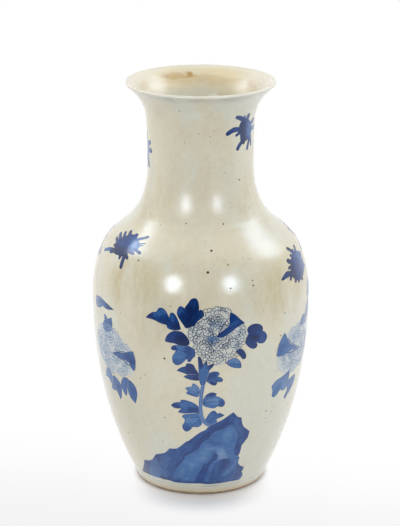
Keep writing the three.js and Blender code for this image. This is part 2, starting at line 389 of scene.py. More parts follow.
class GlazeNodes:
    """Nodes of the glaze. Each finish takes the colour so far and gives it back changed."""

    def __init__(self, tree, colours):
        self.tree = tree
        self.colours = colours
        self.place = add_node(tree, "ShaderNodeTexCoord").outputs["Object"]
        split = add_node(tree, "ShaderNodeSeparateXYZ", {0: self.place})
        self.sideways = maths(tree, "ABSOLUTE", split.outputs[0])
        self.height = maths(tree, "MULTIPLY", split.outputs[2], 1 / MM)
        self.inside = attribute(tree, "inside")["Fac"]
        self.outside = stepped(tree, self.inside, 0.6, 0.3)
        tall = scaled(tree, self.place, (1, 1, 0.6), (0.3, 0.1, 0.0))
        self.patches = noise(tree, tall, 15.0, 3.0, 0.55, 0.4)

    def patchy(self):
        """Broad patches of thick, cool glaze and thin, warm glaze, longer up the wall than across."""
        tree = self.tree
        thin = stepped(tree, self.patches, 0.43, 0.57)
        colour = blended(tree, thin, self.colours.cool, self.colours.warm)
        stains = noise(tree, scaled(tree, self.place, (1, 1, 0.8), (0.0, 0.7, 0.2)), 27.0, 5.0, 0.6, 0.8)
        return blended(tree, stepped(tree, stains, 0.5, 0.8, 0.0, 0.38), colour, self.colours.stain)

    def tea_stained(self, colour):
        """Tea stains in fine runs round the belly, strongest on its left, and round the neck."""
        tree = self.tree
        drawn_up = scaled(tree, self.place, (1, 1, 0.3))
        runs = stepped(tree, noise(tree, drawn_up, 48.0, 5.0, 0.66), 0.22, 0.78)
        stained = product(
            tree, stepped(tree, self.height, 178.0, 228.0), stepped(tree, self.height, 288.0, 246.0),
            stepped(tree, self.patches, 0.38, 0.62, 0.06, 0.48),
        )
        for centre, scale, strength in BODY_STAINS:
            spot = stepped(tree, far_from(tree, self.place, centre, scale), 1.1, 0.2, 0.0, strength)
            stained = maths(tree, "MAXIMUM", stained, spot)
        throat = product(
            tree, stepped(tree, self.height, 292.0, 325.0),
            stepped(tree, self.patches, 0.42, 0.62, 0.04, 0.28),
        )
        share = product(tree, maths(tree, "MAXIMUM", stained, throat), runs)
        return blended(tree, share, colour, self.colours.stain)

    def greyed_low_left(self, colour):
        """Glaze greyer in a patch low on the left."""
        far = far_from(self.tree, self.place, GREY_PATCH_CENTRE, (17.0, 17.0, 12.0))
        return blended(self.tree, stepped(self.tree, far, 1.1, 0.2, 0.0, 0.12), colour, self.colours.ring)

    def mottled(self, colour):
        """Fine mottling in the glaze."""
        tree = self.tree
        light = stepped(tree, noise(tree, self.place, 210.0, 4.0, 0.65), 0.25, 0.75, 0.96, 1.03)
        grey = add_node(tree, "ShaderNodeCombineColor", {0: light, 1: light, 2: light}).outputs[0]
        return blended(tree, 1.0, colour, grey, "MULTIPLY")

    def stained_mouth(self, colour):
        """A mouth stained tan inside, with ochre runs; painted highlights that pale the tan at its ends
        and pale the lip, and a grey line of painted shade under the lip."""
        tree = self.tree
        colours = self.colours
        patches = noise(tree, scaled(tree, self.place, (1, 1, 1.4), (0.5, 0.0, 0.0)), 22.0, 4.0, 0.6, 0.5)
        # Painted highlight: the tan pales towards the mouth's left and right ends, where the glaze inside
        # catches the side lamps
        painted_end_highlights = stepped(tree, self.sideways, 0.03, 0.062, 0.0, 0.85)
        tan = blended(tree, painted_end_highlights, colours.mouth, colours.lip)
        share = product(
            tree, stepped(tree, patches, 0.3, 0.65, 0.4, 1.0),
            stepped(tree, self.height, 404.0, 418.0, 0.1, 0.9),
        )
        tan = blended(tree, share, colour, tan)
        streaky = noise(tree, scaled(tree, self.place, (0.5, 0.5, 2.4)), 60.0, 5.0, 0.7)
        ragged = maths(tree, "MULTIPLY_ADD", streaky, 3.4, -1.7)
        for centre, scale, strength in MOUTH_RUNS:
            run = maths(tree, "ADD", far_from(tree, self.place, centre, scale), ragged)
            tan = blended(tree, stepped(tree, run, 1.2, 0.1, 0.0, strength), tan, colours.ochre)
        colour = blended(tree, stepped(tree, self.inside, 0.35, 0.75), colour, tan)
        # Painted highlight: a pale band along the top of the lip
        painted_lip_highlight = product(
            tree, stepped(tree, self.height, 425.5, 428.6), stepped(tree, patches, 0.3, 0.6, 0.3, 0.7),
        )
        colour = blended(tree, painted_lip_highlight, colour, colours.lip)
        # Painted shade: a broken grey line on the outside just under the overhanging lip
        painted_lip_shade = product(
            tree, stepped(tree, self.height, 418.0, 425.5), stepped(tree, self.height, 428.4, 427.2),
            self.outside, stepped(tree, patches, 0.35, 0.6, 0.06, 0.34),
        )
        return blended(tree, painted_lip_shade, colour, colours.ring)

    def foot(self, colour):
        """A thick pale band, buff glaze, a broken grey ring line and the bare brown rim. Gives
        the colour, how bare each place is, and the grain of the bare clay."""
        tree = self.tree
        colours = self.colours
        uneven = maths(tree, "MULTIPLY_ADD", noise(tree, self.place, 38.0, 3.0), 3.0, -1.5)
        height = maths(tree, "ADD", self.height, uneven)
        band = product(tree, stepped(tree, height, 27.0, 13.0, 0.0, 0.7), self.outside)
        colour = blended(tree, band, colour, colours.band)
        colour = blended(tree, stepped(tree, height, 10.5, 5.0), colour, colours.buff)
        from_ring = maths(tree, "ABSOLUTE", maths(tree, "SUBTRACT", self.height, RING_LINE_HEIGHT))
        broken = noise(tree, scaled(tree, self.place, (1, 1, 0.1)), 30.0, 2.0)
        ring = product(
            tree, stepped(tree, from_ring, 0.8, 0.2),
            stepped(tree, broken, 0.42, 0.62, 0.08, 0.8), self.outside,
        )
        colour = blended(tree, ring, colour, colours.ring)
        bare = stepped(tree, height, 3.9, 1.8)
        grain = noise(tree, self.place, 420.0, 3.0, 0.7)
        brown = blended(tree, stepped(tree, grain, 0.35, 0.75, 0.0, 0.5), colours.rim, colours.buff)
        return blended(tree, bare, colour, brown), bare, grain

    def pepper(self):
        """Where the pinholes and pepper-fine iron lie."""
        cells = add_node(self.tree, "ShaderNodeTexVoronoi", {"Vector": self.place, "Scale": 150.0})
        kept = stepped(self.tree, noise(self.tree, self.place, 60.0), 0.52, 0.6)
        return product(self.tree, stepped(self.tree, cells.outputs["Distance"], 0.09, 0.03), kept)

    def surface(self, pepper, bare, grain):
        """Height of the surface: orange peel over a slow swell, grit on bare clay, and pinholes."""
        tree = self.tree
        orange_peel = product(tree, noise(tree, self.place, 190.0, 2.0), 0.5)
        glazed = maths(tree, "ADD", orange_peel, noise(tree, self.place, 55.0, 1.0))
        gritty = maths(tree, "ADD", glazed, product(tree, grain, bare, 1.2))
        return maths(tree, "SUBTRACT", gritty, product(tree, pepper, 0.6))


def glaze_group(colours):
    """Colour, depth roughness and height of the glaze, from its place on the vase."""
    name = "porcelain_glaze"
    if name in bpy.data.node_groups:
        return bpy.data.node_groups[name]
    tree = bpy.data.node_groups.new(name, "ShaderNodeTree")
    glaze = GlazeNodes(tree, colours)
    colour = glaze.mottled(glaze.greyed_low_left(glaze.tea_stained(glaze.patchy())))
    colour, bare, grain = glaze.foot(glaze.stained_mouth(colour))
    pepper = glaze.pepper()
    results = {
        "Color": blended(tree, product(tree, pepper, 0.55), colour, colours.iron),
        "Depth Roughness": maths(tree, "MULTIPLY_ADD", bare, 0.3, colours.glow),
        "Height": glaze.surface(pepper, bare, grain),
    }
    for label in results:
        kind = "NodeSocketColor" if label == "Color" else "NodeSocketFloat"
        tree.interface.new_socket(label, in_out="OUTPUT", socket_type=kind)
    out = add_node(tree, "NodeGroupOutput")
    for label, socket in results.items():
        tree.links.new(socket, out.inputs[label])
    return tree


def porcelain_material(name, paint=None, gloss=None):
    """The glazed body's material; paint may change the colour of the glaze."""
    if name in bpy.data.materials:
        return bpy.data.materials[name]
    material = bpy.data.materials.new(name)
    material.use_nodes = True
    tree = material.node_tree
    tree.nodes.clear()
    group = add_node(tree, "ShaderNodeGroup", node_tree=glaze_group(bpy.context.scene.vase_glaze))
    colour = group.outputs["Color"]
    if paint:
        colour = paint(tree, colour)
    bump = add_node(tree, "ShaderNodeBump", {
        "Height": group.outputs["Height"], "Strength": 0.12, "Distance": 0.0004,
    })
    shader = add_node(tree, "ShaderNodeBsdfPrincipled", {
        "Base Color": colour, "Roughness": group.outputs["Depth Roughness"], "IOR": 1.5,
        "Specular IOR Level": 0.2, "Normal": bump.outputs[0], "Coat Weight": 0.72, "Coat IOR": 1.5,
        "Coat Roughness": gloss or bpy.context.scene.vase_glaze.gloss, "Coat Normal": bump.outputs[0],
    })
    out = add_node(tree, "ShaderNodeOutputMaterial", {"Surface": shader.outputs[0]})
    out.is_active_output = True
    return material


def cobalt_paint(tree, glaze_colour):
    """Cobalt under the glaze: washes with brush streaks, drawn outlines and soft edges."""
    cobalt = bpy.context.scene.vase_cobalt
    wash = attribute(tree, "wash")["Fac"]
    depth = attribute(tree, "depth")["Fac"]
    line = attribute(tree, "line")["Fac"]
    brush = add_node(tree, "ShaderNodeSeparateXYZ", {0: attribute(tree, "brush")["Vector"]}).outputs
    place = add_node(tree, "ShaderNodeTexCoord").outputs["Object"]
    flat = add_node(tree, "ShaderNodeCombineXYZ", {0: brush[0], 1: brush[1]}).outputs[0]
    streaks = noise(tree, scaled(tree, flat, (0.1, 0.9, 1.0)), 1.0, 3.0, 0.6)
    streak = product(tree, maths(tree, "SUBTRACT", streaks, 0.5), brush[2], 2.0)
    clouds = maths(tree, "MULTIPLY_ADD", noise(tree, place, 90.0, 3.0, 0.6), 0.3, -0.15)
    strength = maths(tree, "ADD", maths(tree, "ADD", 1.0, clouds), streak)

    # The drawn line follows the edge, wavering in width
    width = cobalt.line_width / MM
    waver = maths(tree, "MULTIPLY_ADD", noise(tree, place, 260.0, 1.0), 0.5, 0.75)
    drawn = maths(tree, "DIVIDE", depth, waver)
    edge_line = product(tree, stepped(tree, drawn, width * 1.9, width * 0.9), line)
    tone = maths(tree, "ADD", product(tree, wash, strength), edge_line)
    tone = maths(tree, "MULTIPLY", tone, stepped(tree, drawn, 0.0, 0.35), clamp=True)

    white = product(tree, attribute(tree, "white")["Fac"], stepped(tree, depth, 0.0, 1.2))
    glaze_colour = blended(tree, white, glaze_colour, cobalt.petal)
    colour = ramp(tree, tone, (
        (0.12, cobalt.pale), (0.42, cobalt.middle), (0.72, cobalt.full), (1.0, cobalt.deep),
    ))
    greyed = stepped(tree, noise(tree, place, 24.0, 2.0), 0.46, 0.7, 0.0, 0.42)
    colour = blended(tree, product(tree, greyed, stepped(tree, tone, 0.3, 0.8)), colour, cobalt.ink)
    colour = blended(tree, stepped(tree, line, 0.6, 0.9), colour, cobalt.pencil)
    return blended(tree, stepped(tree, tone, 0.0, 0.3), glaze_colour, colour)


def iron_paint(tree, glaze_colour):
    """Iron specks that bled through the glaze, dark in the middle and tea-brown at the edge."""
    glaze = bpy.context.scene.vase_glaze
    wash = attribute(tree, "wash")["Fac"]
    depth = attribute(tree, "depth")["Fac"]
    halo = product(tree, stepped(tree, depth, 0.0, 0.6), wash, 0.7)
    colour = blended(tree, halo, glaze_colour, glaze.stain)
    return blended(tree, product(tree, stepped(tree, depth, 0.12, 0.6), wash), colour, glaze.iron)


def cobalt_material():
    return porcelain_material("cobalt_under_glaze", cobalt_paint)


def finished(name, bm, material, nodes=()):
    """Turns a bmesh into a named piece that rides on the vase."""
    mesh = bpy.data.meshes.new(name)
    bm.to_mesh(mesh)
    bm.free()
    mesh.materials.append(material)
    piece = bpy.data.objects.new(name, mesh)
    bpy.context.scene.collection.objects.link(piece)
    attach(piece, "root")
    if nodes:
        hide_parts(*nodes)
    return piece


# Turned sections

def rows(low, high, spacing):
    count = max(1, math.ceil(abs(high - low) / spacing))
    return [low + (high - low) * step / count for step in range(count + 1)]


def outer_rows(low, high):
    """Heights of the outside's rows, closest at both ends and over the ridge of the neck joint."""
    spacing = bpy.context.scene.vase_shape.ring_spacing / MM
    found = []
    for height in rows(low, high, FINE_ROW):
        on_ridge = NECK_SEAM - FINE_REACH < height < NECK_SEAM + FINE_REACH
        near_end = min(height - low, high - height) < END_REACH
        step = FINE_ROW if on_ridge or near_end else spacing
        if not found or height - found[-1] >= step - STEP_SLACK:
            found.append(height)
    if high - found[-1] > LEAST_LAST_STEP:
        found.append(high)
    else:
        found[-1] = high
    return found


def outer_profile(heights):
    return [(float(outside_at(height)[0]), height) for height in heights]


def inner_radius(height):
    radius, slope, wall = outside_at(height)
    return float(radius - wall * np.hypot(1, slope))


def inner_profile(heights):
    return [(inner_radius(height), height) for height in heights]


def inset_point(height):
    """The point of the inside that lies square behind the outside's point at a height."""
    radius, slope, wall = outside_at(height)
    inset = wall / np.hypot(1, slope)
    return (float(radius - inset), float(height + inset * slope))


def arc(centre, radius, start, end, steps):
    angles = [start + (end - start) * step / steps for step in range(steps + 1)]
    return [(centre[0] + radius * math.cos(a), centre[1] + radius * math.sin(a)) for a in angles]


def turned_piece(name, node, profile, material, closed=True):
    """Spins an outline about the vase's axis and gives the outside its hand-thrown surface."""
    bm = bmesh.new()
    points = [bm.verts.new((radius * MM, 0, height * MM)) for radius, height in profile]
    edges = [bm.edges.new(pair) for pair in zip(points, points[1:])]
    if closed:
        edges.append(bm.edges.new((points[-1], points[0])))
    bmesh.ops.spin(
        bm, geom=points + edges, cent=(0, 0, 0), axis=(0, 0, 1), dvec=(0, 0, 0), angle=FULL_TURN,
        steps=bpy.context.scene.vase_shape.turns, use_merge=True, use_duplicate=False,
    )
    bmesh.ops.remove_doubles(bm, verts=bm.verts, dist=0.001 * MM)
    bmesh.ops.recalc_face_normals(bm, faces=bm.faces)
    places = np.array([vert.co for vert in bm.verts]) / MM
    radius = np.hypot(places[:, 0], places[:, 1])
    azimuth = np.arctan2(places[:, 0], -places[:, 1])
    true_radius, slope, wall = outside_at(np.minimum(places[:, 2], LIP_OUTSIDE[1]))
    inside = np.clip((true_radius - radius) / (wall * np.hypot(1, slope)), 0, 1)
    grown = 1 + hand_thrown(azimuth, places[:, 2]) * (1 - inside) ** 2 / np.maximum(radius, 1)
    layer = bm.verts.layers.float.new("inside")
    for vert, share, growth in zip(bm.verts, inside, grown):
        vert[layer] = share
        vert.co.x *= growth
        vert.co.y *= growth
    for edge in bm.edges:
        edge.smooth = edge.calc_face_angle(0) < SHARP_EDGE
    for face in bm.faces:
        face.smooth = True
    return finished(name, bm, material, [node])


def wall_profile(low, high):
    """A section's wall between two heights, up the outside and back down the inside."""
    inner_rows = [low, *rows(low + INSIDE_END_ROW, high - INSIDE_END_ROW, INSIDE_ROW), high]
    return outer_profile(outer_rows(low, high)) + inner_profile(reversed(inner_rows))


def bead_profile(seam):
    """A joint's layer of slip, flush outside, with its smoothed bead inside."""
    low = seam - SLIP_LAYER / 2
    high = seam + SLIP_LAYER / 2

    def flank(height, depth=0.0):
        return (inner_radius(height) - BEAD_CLEARANCE - depth, height)

    swell = []
    for share in (-0.9, -0.7, -0.45, -0.2, 0.0, 0.2, 0.45, 0.7, 0.9):
        height = seam - share * (BEAD_REACH + SLIP_LAYER / 2)
        swell.append(flank(height, BEAD_EDGE + (BEAD_DEPTH - BEAD_EDGE) * (1 - share ** 2)))
    return [
        *outer_profile((low, seam, high)),
        flank(high),
        flank(high + BEAD_REACH),
        *swell,
        flank(low - BEAD_REACH),
        flank(low),
    ]


class VASE_OT_neck_and_mouth(bpy.types.Operator):
    """Makes the waisted neck with its trumpet mouth and rounded lip"""

    bl_idname = "vase.neck_and_mouth"
    bl_label = "Make Neck and Mouth"

    def execute(self, context):
        low = NECK_SEAM + SLIP_LAYER / 2
        high = LIP_OUTSIDE[1]
        profile = outer_profile(outer_rows(low, high))
        profile += arc(LIP_CENTRE, LIP_ROUND, -LIP_SLANT, math.pi - LIP_SLANT, 14)[1:]
        profile += [inset_point(height) for height in reversed(rows(THROAT_HEIGHT, high, 2)[1:-1])]
        inner_rows = [low, *rows(low + INSIDE_END_ROW, THROAT_HEIGHT, INSIDE_END_ROW)]
        profile += inner_profile(reversed(inner_rows))
        material = porcelain_material("neck_glaze", gloss=context.scene.vase_glaze.neck_gloss)
        turned_piece("neck_and_mouth", "neck_and_mouth_section", profile, material)
        return {"FINISHED"}


class VASE_OT_shoulder(bpy.types.Operator):
    """Makes the rounded upper half of the body"""

    bl_idname = "vase.shoulder"
    bl_label = "Make Shoulder"

    def execute(self, context):
        profile = wall_profile(BELLY_SEAM + SLIP_LAYER / 2, NECK_SEAM - SLIP_LAYER / 2)
        material = porcelain_material("celadon_glaze")
        turned_piece("shoulder", "shoulder_section", profile, material)
        return {"FINISHED"}


class VASE_OT_lower_body(bpy.types.Operator):
    """Makes the tapered lower half of the body"""

    bl_idname = "vase.lower_body"
    bl_label = "Make Lower Body"

    def execute(self, context):
        profile = wall_profile(FOOT_SEAM + SLIP_LAYER / 2, BELLY_SEAM - SLIP_LAYER / 2)
        material = porcelain_material("celadon_glaze")
        turned_piece("lower_body", "lower_body_section", profile, material)
        return {"FINISHED"}


class VASE_OT_foot(bpy.types.Operator):
    """Makes the turned base with its recessed underside and bare foot rim"""

    bl_idname = "vase.foot"
    bl_label = "Make Base and Foot Ring"

    def execute(self, context):
        top = FOOT_SEAM - SLIP_LAYER / 2
        rim_inside = float(LEVELS[0][1]) - FOOT_RIM_WIDTH
        recess = rim_inside - FOOT_RECESS_DRAFT
        outer_centre = (float(outside_at(FOOT_EDGE_ROUND)[0]) - FOOT_EDGE_ROUND, FOOT_EDGE_ROUND)
        inner_centre = (rim_inside + FOOT_EDGE_ROUND, FOOT_EDGE_ROUND)
        corner = (recess - RECESS_ROUND, FOOT_RECESS_DEPTH - RECESS_ROUND)
        profile = [(radius, FOOT_RECESS_DEPTH) for radius in (*RECESS_RADII, recess - 2)]
        profile += arc(corner, RECESS_ROUND, math.pi / 2, 0.2, 5)
        profile += arc(inner_centre, FOOT_EDGE_ROUND, math.pi, math.pi * 1.5, 6)
        profile += arc(outer_centre, FOOT_EDGE_ROUND, math.pi * 1.5, math.tau, 6)
        profile += outer_profile(rows(FOOT_EDGE_ROUND, top, 1)[1:])
        profile += [(radius, top) for radius in BASE_TOP_RADII]
        material = porcelain_material("foot_glaze")
        turned_piece(
            "base_and_foot", "base_and_foot_ring", profile, material, closed=False,
        )
        return {"FINISHED"}


class VASE_OT_slip_rings(bpy.types.Operator):
    """Makes the three rings of slip that join the sections"""

    bl_idname = "vase.slip_rings"
    bl_label = "Make Slip Rings"

    def execute(self, context):
        material = porcelain_material("glazed_slip")
        for name, seam in (("belly", BELLY_SEAM), ("neck", NECK_SEAM)):
            profile = bead_profile(seam)
            turned_piece(f"{name}_slip", f"{name}_luting_slip", profile, material)
        low = FOOT_SEAM - SLIP_LAYER / 2
        high = FOOT_SEAM + SLIP_LAYER / 2
        flank = inner_radius(high) - BEAD_CLEARANCE
        top = high + BEAD_REACH
        flank_top = inner_radius(top) - BEAD_CLEARANCE
        centre = (flank_top - BEAD_EDGE - BEAD_REACH, top)
        hollow = [(x, max(low, z)) for x, z in arc(centre, BEAD_REACH, 0, -math.pi / 2, 6)]
        profile = [
            *outer_profile((low, FOOT_SEAM, high)), (flank, high), (flank_top, top), *hollow,
            (flank - BEAD_REACH - FOOT_BEAD_TOE, low),
        ]
        turned_piece("foot_slip", "foot_luting_slip", profile, material)
        return {"FINISHED"}


# The painted film

class Place:
    """Where a motif drawn flat, in millimetres, lies on the vase."""

    def __init__(self, azimuth, height, flip=1):
        self.azimuth = math.radians(azimuth)
        self.length = float(np.interp(height, WALL_HEIGHTS, WALL_LENGTHS))
        self.flip = flip

    def on_vase(self, flat, lift):
        height = np.interp(self.length + flat[:, 1], WALL_LENGTHS, WALL_HEIGHTS)
        azimuth = self.azimuth + self.flip * flat[:, 0] / outside_at(height)[0]
        return on_glaze(azimuth, height, lift)


def rounded(points, closed=True, steps=4):
    """Runs a smooth line through points. A point with a third value is a sharp corner."""
    count = len(points)
    found = []
    for index in range(count if closed else count - 1):
        here = points[index]
        there = points[(index + 1) % count]
        before = points[(index - 1) % count] if closed or index else here
        after = points[(index + 2) % count] if closed or index + 2 < count else there
        reach = math.dist(here[:2], there[:2])
        pulls = []
        for corner, first, second in ((here, before, there), (there, here, after)):
            span = math.dist(first[:2], second[:2]) or 1.0
            pull = 0.0 if len(corner) > 2 else reach / span
            pulls.append(((second[0] - first[0]) * pull, (second[1] - first[1]) * pull))
        for step in range(steps):
            t = step / steps
            weights = ((1 + 2 * t) * (1 - t) ** 2, t * (1 - t) ** 2, t * t * (3 - 2 * t), t * t * (t - 1))
            found.append(tuple(
                weights[0] * here[axis] + weights[1] * pulls[0][axis]
                + weights[2] * there[axis] + weights[3] * pulls[1][axis]
                for axis in (0, 1)
            ))
    if not closed:
        found.append(tuple(points[-1][:2]))
    return found


def distance_to_line(flat, line, closed):
    """Least distance from each point to a line of points."""
    line = np.array(line)
    starts = line if closed else line[:-1]
    ends = np.roll(line, -1, axis=0) if closed else line[1:]
    along = ends - starts
    square = np.maximum((along ** 2).sum(axis=1), 1e-9)
    to_point = flat[:, None, :] - starts[None]
    share = np.clip((to_point * along[None]).sum(axis=2) / square, 0, 1)
    return np.linalg.norm(to_point - share[..., None] * along[None], axis=2).min(axis=1)


def touched(flat, touches):
    """Sum of brush touches, each with a path, a width and a change of tone. A small waver of
    the points makes them ragged."""
    x = flat[:, 0]
    y = flat[:, 1]
    shaken = flat + 0.8 * np.stack((
        np.sin(1.3 * y + 2 * np.sin(0.8 * x)), np.sin(1.1 * x + 2 * np.sin(0.9 * y)),
    ), axis=-1)
    total = np.zeros(len(flat))
    for path, width, change in touches:
        total += change * np.exp(-(distance_to_line(shaken, path, False) / width) ** 4)
    return total


class Film:
    """Painting that gathers washes, strokes and petals into one piece."""

    def __init__(self, name, place):
        self.name = name
        self.place = place
        self.bm = bmesh.new()
        self.layers = {
            key: self.bm.verts.layers.float.new(key) for key in ("wash", "depth", "line", "white")
        }
        self.brush = self.bm.verts.layers.float_vector.new("brush")
        shape = bpy.context.scene.vase_shape
        self.lift = shape.film_lift / MM
        self.step = shape.film_step / MM
        self.cell = shape.film_cell / MM
        self.thickness = shape.film_thickness

    def lay(self, verts, faces, flat, level, wash, depth, line=0.0, along=0.0, across=0.0, streak=0.0,
            white=0.0):
        """Puts flat points on the vase and gives them their paint."""
        count = len(verts)
        solid = self.place.on_vase(flat, self.lift + self.step * level)
        values = [np.broadcast_to(value, count) for value in (wash, depth, line, along, across, streak)]
        layers = self.layers
        for vert, co, w, d, ln, al, ac, st in zip(verts, solid, *values):
            vert.co = co
            vert[layers["wash"]] = w
            vert[layers["depth"]] = d
            vert[layers["line"]] = ln
            vert[layers["white"]] = white
            vert[self.brush] = (al, ac, st)
        if self.place.flip < 0:
            bmesh.ops.reverse_faces(self.bm, faces=faces)

    def cells(self, corners):
        """Facets inside a line of corners: a strip along the edge, then small square cells."""
        face = self.bm.faces.new([self.bm.verts.new((x, y, 0)) for x, y in corners])
        strip = bmesh.ops.inset_region(
            self.bm, faces=[face], thickness=EDGE_STRIP, use_even_offset=True,
        )["faces"]
        faces = bmesh.ops.triangulate(self.bm, faces=[face])["faces"]
        geom = list({item for face in faces for item in (*face.verts, *face.edges)}) + faces
        for axis in (0, 1):
            low = min(corner[axis] for corner in corners)
            high = max(corner[axis] for corner in corners)
            for index in range(math.ceil(low / self.cell), math.floor(high / self.cell) + 1):
                plane = [0.0, 0.0, 0.0]
                plane[axis] = index * self.cell
                geom = bmesh.ops.bisect_plane(
                    self.bm, geom=geom, dist=0.0001, plane_co=plane, plane_no=(1 - axis, axis, 0),
                )["geom"]
        inner = [item for item in geom if isinstance(item, bmesh.types.BMFace)]
        rim = {vert for face in strip for vert in face.verts}
        cut = [face for face in inner if not rim.isdisjoint(face.verts)]
        whole = [face for face in inner if rim.isdisjoint(face.verts)]
        return whole + bmesh.ops.poke(self.bm, faces=cut)["faces"] + strip

    def wash(self, outline, tone, line=0.3, level=1, base=None, touches=(), streak=0.35, grain=None,
             steps=4, white=0.0, buried=0.0):
        """Fills an outline with cobalt. Streaks fan out from the base, or run along the grain."""
        corners = rounded(outline, steps=steps)
        area = sum(a[0] * b[1] - b[0] * a[1] for a, b in zip(corners, corners[1:] + corners[:1]))
        if area < 0:
            corners.reverse()
        faces = self.cells(corners)
        verts = list({vert for face in faces for vert in face.verts})
        flat = np.array([vert.co[:2] for vert in verts])
        depth = distance_to_line(flat, corners, True) + buried
        if grain is not None:
            turn = math.radians(grain)
            along = flat[:, 0] * math.cos(turn) + flat[:, 1] * math.sin(turn)
            across = flat[:, 1] * math.cos(turn) - flat[:, 0] * math.sin(turn)
        else:
            offset = flat - np.array(base or corners[0])
            along = np.hypot(offset[:, 0], offset[:, 1])
            across = np.arctan2(offset[:, 1], offset[:, 0]) * FAN_SPREAD
        tones = np.clip(tone + touched(flat, touches), *TONES)
        along += LAYER_SHIFT * level
        self.lay(verts, faces, flat, level, tones, depth, line, along, across, streak, white)

    def grid(self, columns, rows_across):
        """A strip of facets, with how far along it (0 to 1) and across it (-1 to 1) each point is."""
        made = bmesh.ops.create_grid(self.bm, x_segments=columns, y_segments=rows_across, size=1)
        verts = made["verts"]
        faces = list({face for vert in verts for face in vert.link_faces})
        places = np.array([vert.co[:2] for vert in verts])
        return verts, faces, (places[:, 0] + 1) / 2, places[:, 1]

    def stroke(self, path, widths, tone, line=0.1, level=2, streak=0.4, touches=(), buried=0.0,
               spacing=1.3, across=4):
        """One brush stroke along a path, as wide as widths say from start to end. A buried
        stroke lies on a wash and doesn't fade out at its edges."""
        spine = np.array(rounded(path, closed=False))
        steps = np.hypot(*np.diff(spine, axis=0).T)
        lengths = np.concatenate(([0.0], np.cumsum(steps)))
        total = lengths[-1]
        verts, faces, u, v = self.grid(max(6, round(total / spacing)), across)
        at = (0.5 - 0.5 * np.cos(math.pi * u)) * total
        centre = np.stack([np.interp(at, lengths, spine[:, axis]) for axis in (0, 1)], axis=-1)
        ahead = np.stack([
            np.interp(at + 0.4, lengths, spine[:, axis]) - np.interp(at - 0.4, lengths, spine[:, axis])
            for axis in (0, 1)
        ], axis=-1)
        ahead /= np.maximum(np.linalg.norm(ahead, axis=1), 1e-6)[:, None]
        half = np.interp(at / total, np.linspace(0, 1, len(widths)), widths) / 2
        near_end = np.clip(np.minimum(at, total - at) / np.maximum(half, 0.1), 0.02, 1)
        half = half * np.sqrt(1 - (1 - near_end) ** 2)
        flat = centre + np.stack((-ahead[:, 1], ahead[:, 0]), axis=-1) * (half * v)[:, None]
        depth = np.minimum((1 - np.abs(v)) * half, np.minimum(at, total - at) + 0.2) + buried
        tone = np.atleast_1d(tone)
        tones = np.interp(u, np.linspace(0, 1, len(tone)), tone)
        tones = np.clip(tones + touched(flat, touches), *TONES)
        along = at + LAYER_SHIFT * level
        self.lay(verts, faces, flat, level, tones, depth, line, along, half * v, streak)

    def frill(self, centre, facing, spread, reach, level, draw, ink):
        """The drawn rim of a ruffle: an arc of scallops, with a fold running in from each notch."""
        width = draw.uniform(0.55, 0.8)
        bumps = max(3, round(spread * reach / draw.uniform(3.6, 5.4)))
        path = []
        for index in range(2 * bumps + 1):
            turn = facing + spread * (index / (2 * bumps) - 0.5) + draw.uniform(-0.06, 0.06)
            crest = index % 2
            far = reach * (draw.uniform(1.0, 1.1) if crest else draw.uniform(0.84, 0.92))
            point = (centre[0] + far * math.cos(turn), centre[1] + far * math.sin(turn))
            path.append(point if crest else (*point, 1))
        fine = {"line": 1.0 if ink > 0.5 else 0.28, "level": level, "buried": 0.5, "across": 2}
        self.stroke(path, (0.6 * width, width, 0.9 * width, 0.5 * width), ink, spacing=0.55, **fine)
        for notch in path[2:-2:2]:
            share = draw.uniform(0.45, 0.8)
            inner = tuple(centre[axis] + (notch[axis] - centre[axis]) * share for axis in (0, 1))
            self.stroke((notch[:2], inner), (0.8 * width, 0.4 * width), 0.9 * ink, **fine)

    def flower(self, outline, seed, touches=(), ink=0.85, white=0.55):
        """A full peony: clean white glaze with pale washes, and the drawn rims of its ruffles."""
        draw = random.Random(seed)
        self.wash(outline, 0.12 - 0.02 * ink, line=0.0, touches=touches, streak=0.6, white=white)
        corners = np.array(outline)
        middle = (corners.max(axis=0) + corners.min(axis=0)) / 2
        half = (corners.max(axis=0) - corners.min(axis=0)) / 2
        for index, (x, y, share, facing) in enumerate(RUFFLES):
            spot = (middle[0] + x * half[0], middle[1] + y * half[1])
            reach = share * float(half.mean())
            rims = max(2, round(reach / 3.4))
            for rim in range(rims):
                turned = math.radians(facing) + draw.uniform(-0.3, 0.3)
                spread = draw.uniform(2.8, 4.0)
                level = 3 + index % 4 + 4 * rim
                self.frill(spot, turned, spread, reach * (1 - rim / rims), level, draw, ink)

    def leaf(self, outline, base, tips, tone, touches, level):
        """A lobed leaf: a wash, and a darker vein to each lobe's tip."""
        self.wash(outline, tone, line=0.28, level=level, base=base, touches=touches)
        for tip in tips:
            bend = (
                (base[0] + tip[0]) / 2 - (tip[1] - base[1]) * 0.06,
                (base[1] + tip[1]) / 2 + (tip[0] - base[0]) * 0.06,
            )
            short = tuple(base[axis] + (tip[axis] - base[axis]) * 0.86 for axis in (0, 1))
            self.stroke((base, bend, short), (1.0, 0.8, 0.3), tone + 0.22, 0.0, level + 2, buried=0.5)

    def done(self, material=None):
        """Ends the piece: smooth faces with crisp edges, thickened inwards."""
        for face in self.bm.faces:
            face.smooth = True
        for edge in self.bm.edges:
            edge.smooth = not edge.is_boundary
        piece = finished(self.name, self.bm, material or cobalt_material())
        solid = piece.modifiers.new("film_thickness", "SOLIDIFY")
        solid.thickness = self.thickness
        solid.offset = -1
        return piece


# Motifs, drawn flat in millimetres. x runs round the vase and y up its wall.
# A third value marks a sharp corner. Each leaf: outline, base, tips of its lobes, tone, touches
# (path, width and change of tone), and the layer that it lies in.

# Heights on the wall, in millimetres, that the rock and the two parts of a spray are drawn from
ROCK_HEIGHT = 60
LOW_SPRAY_HEIGHT = 110
SPRAY_HEIGHT = 150
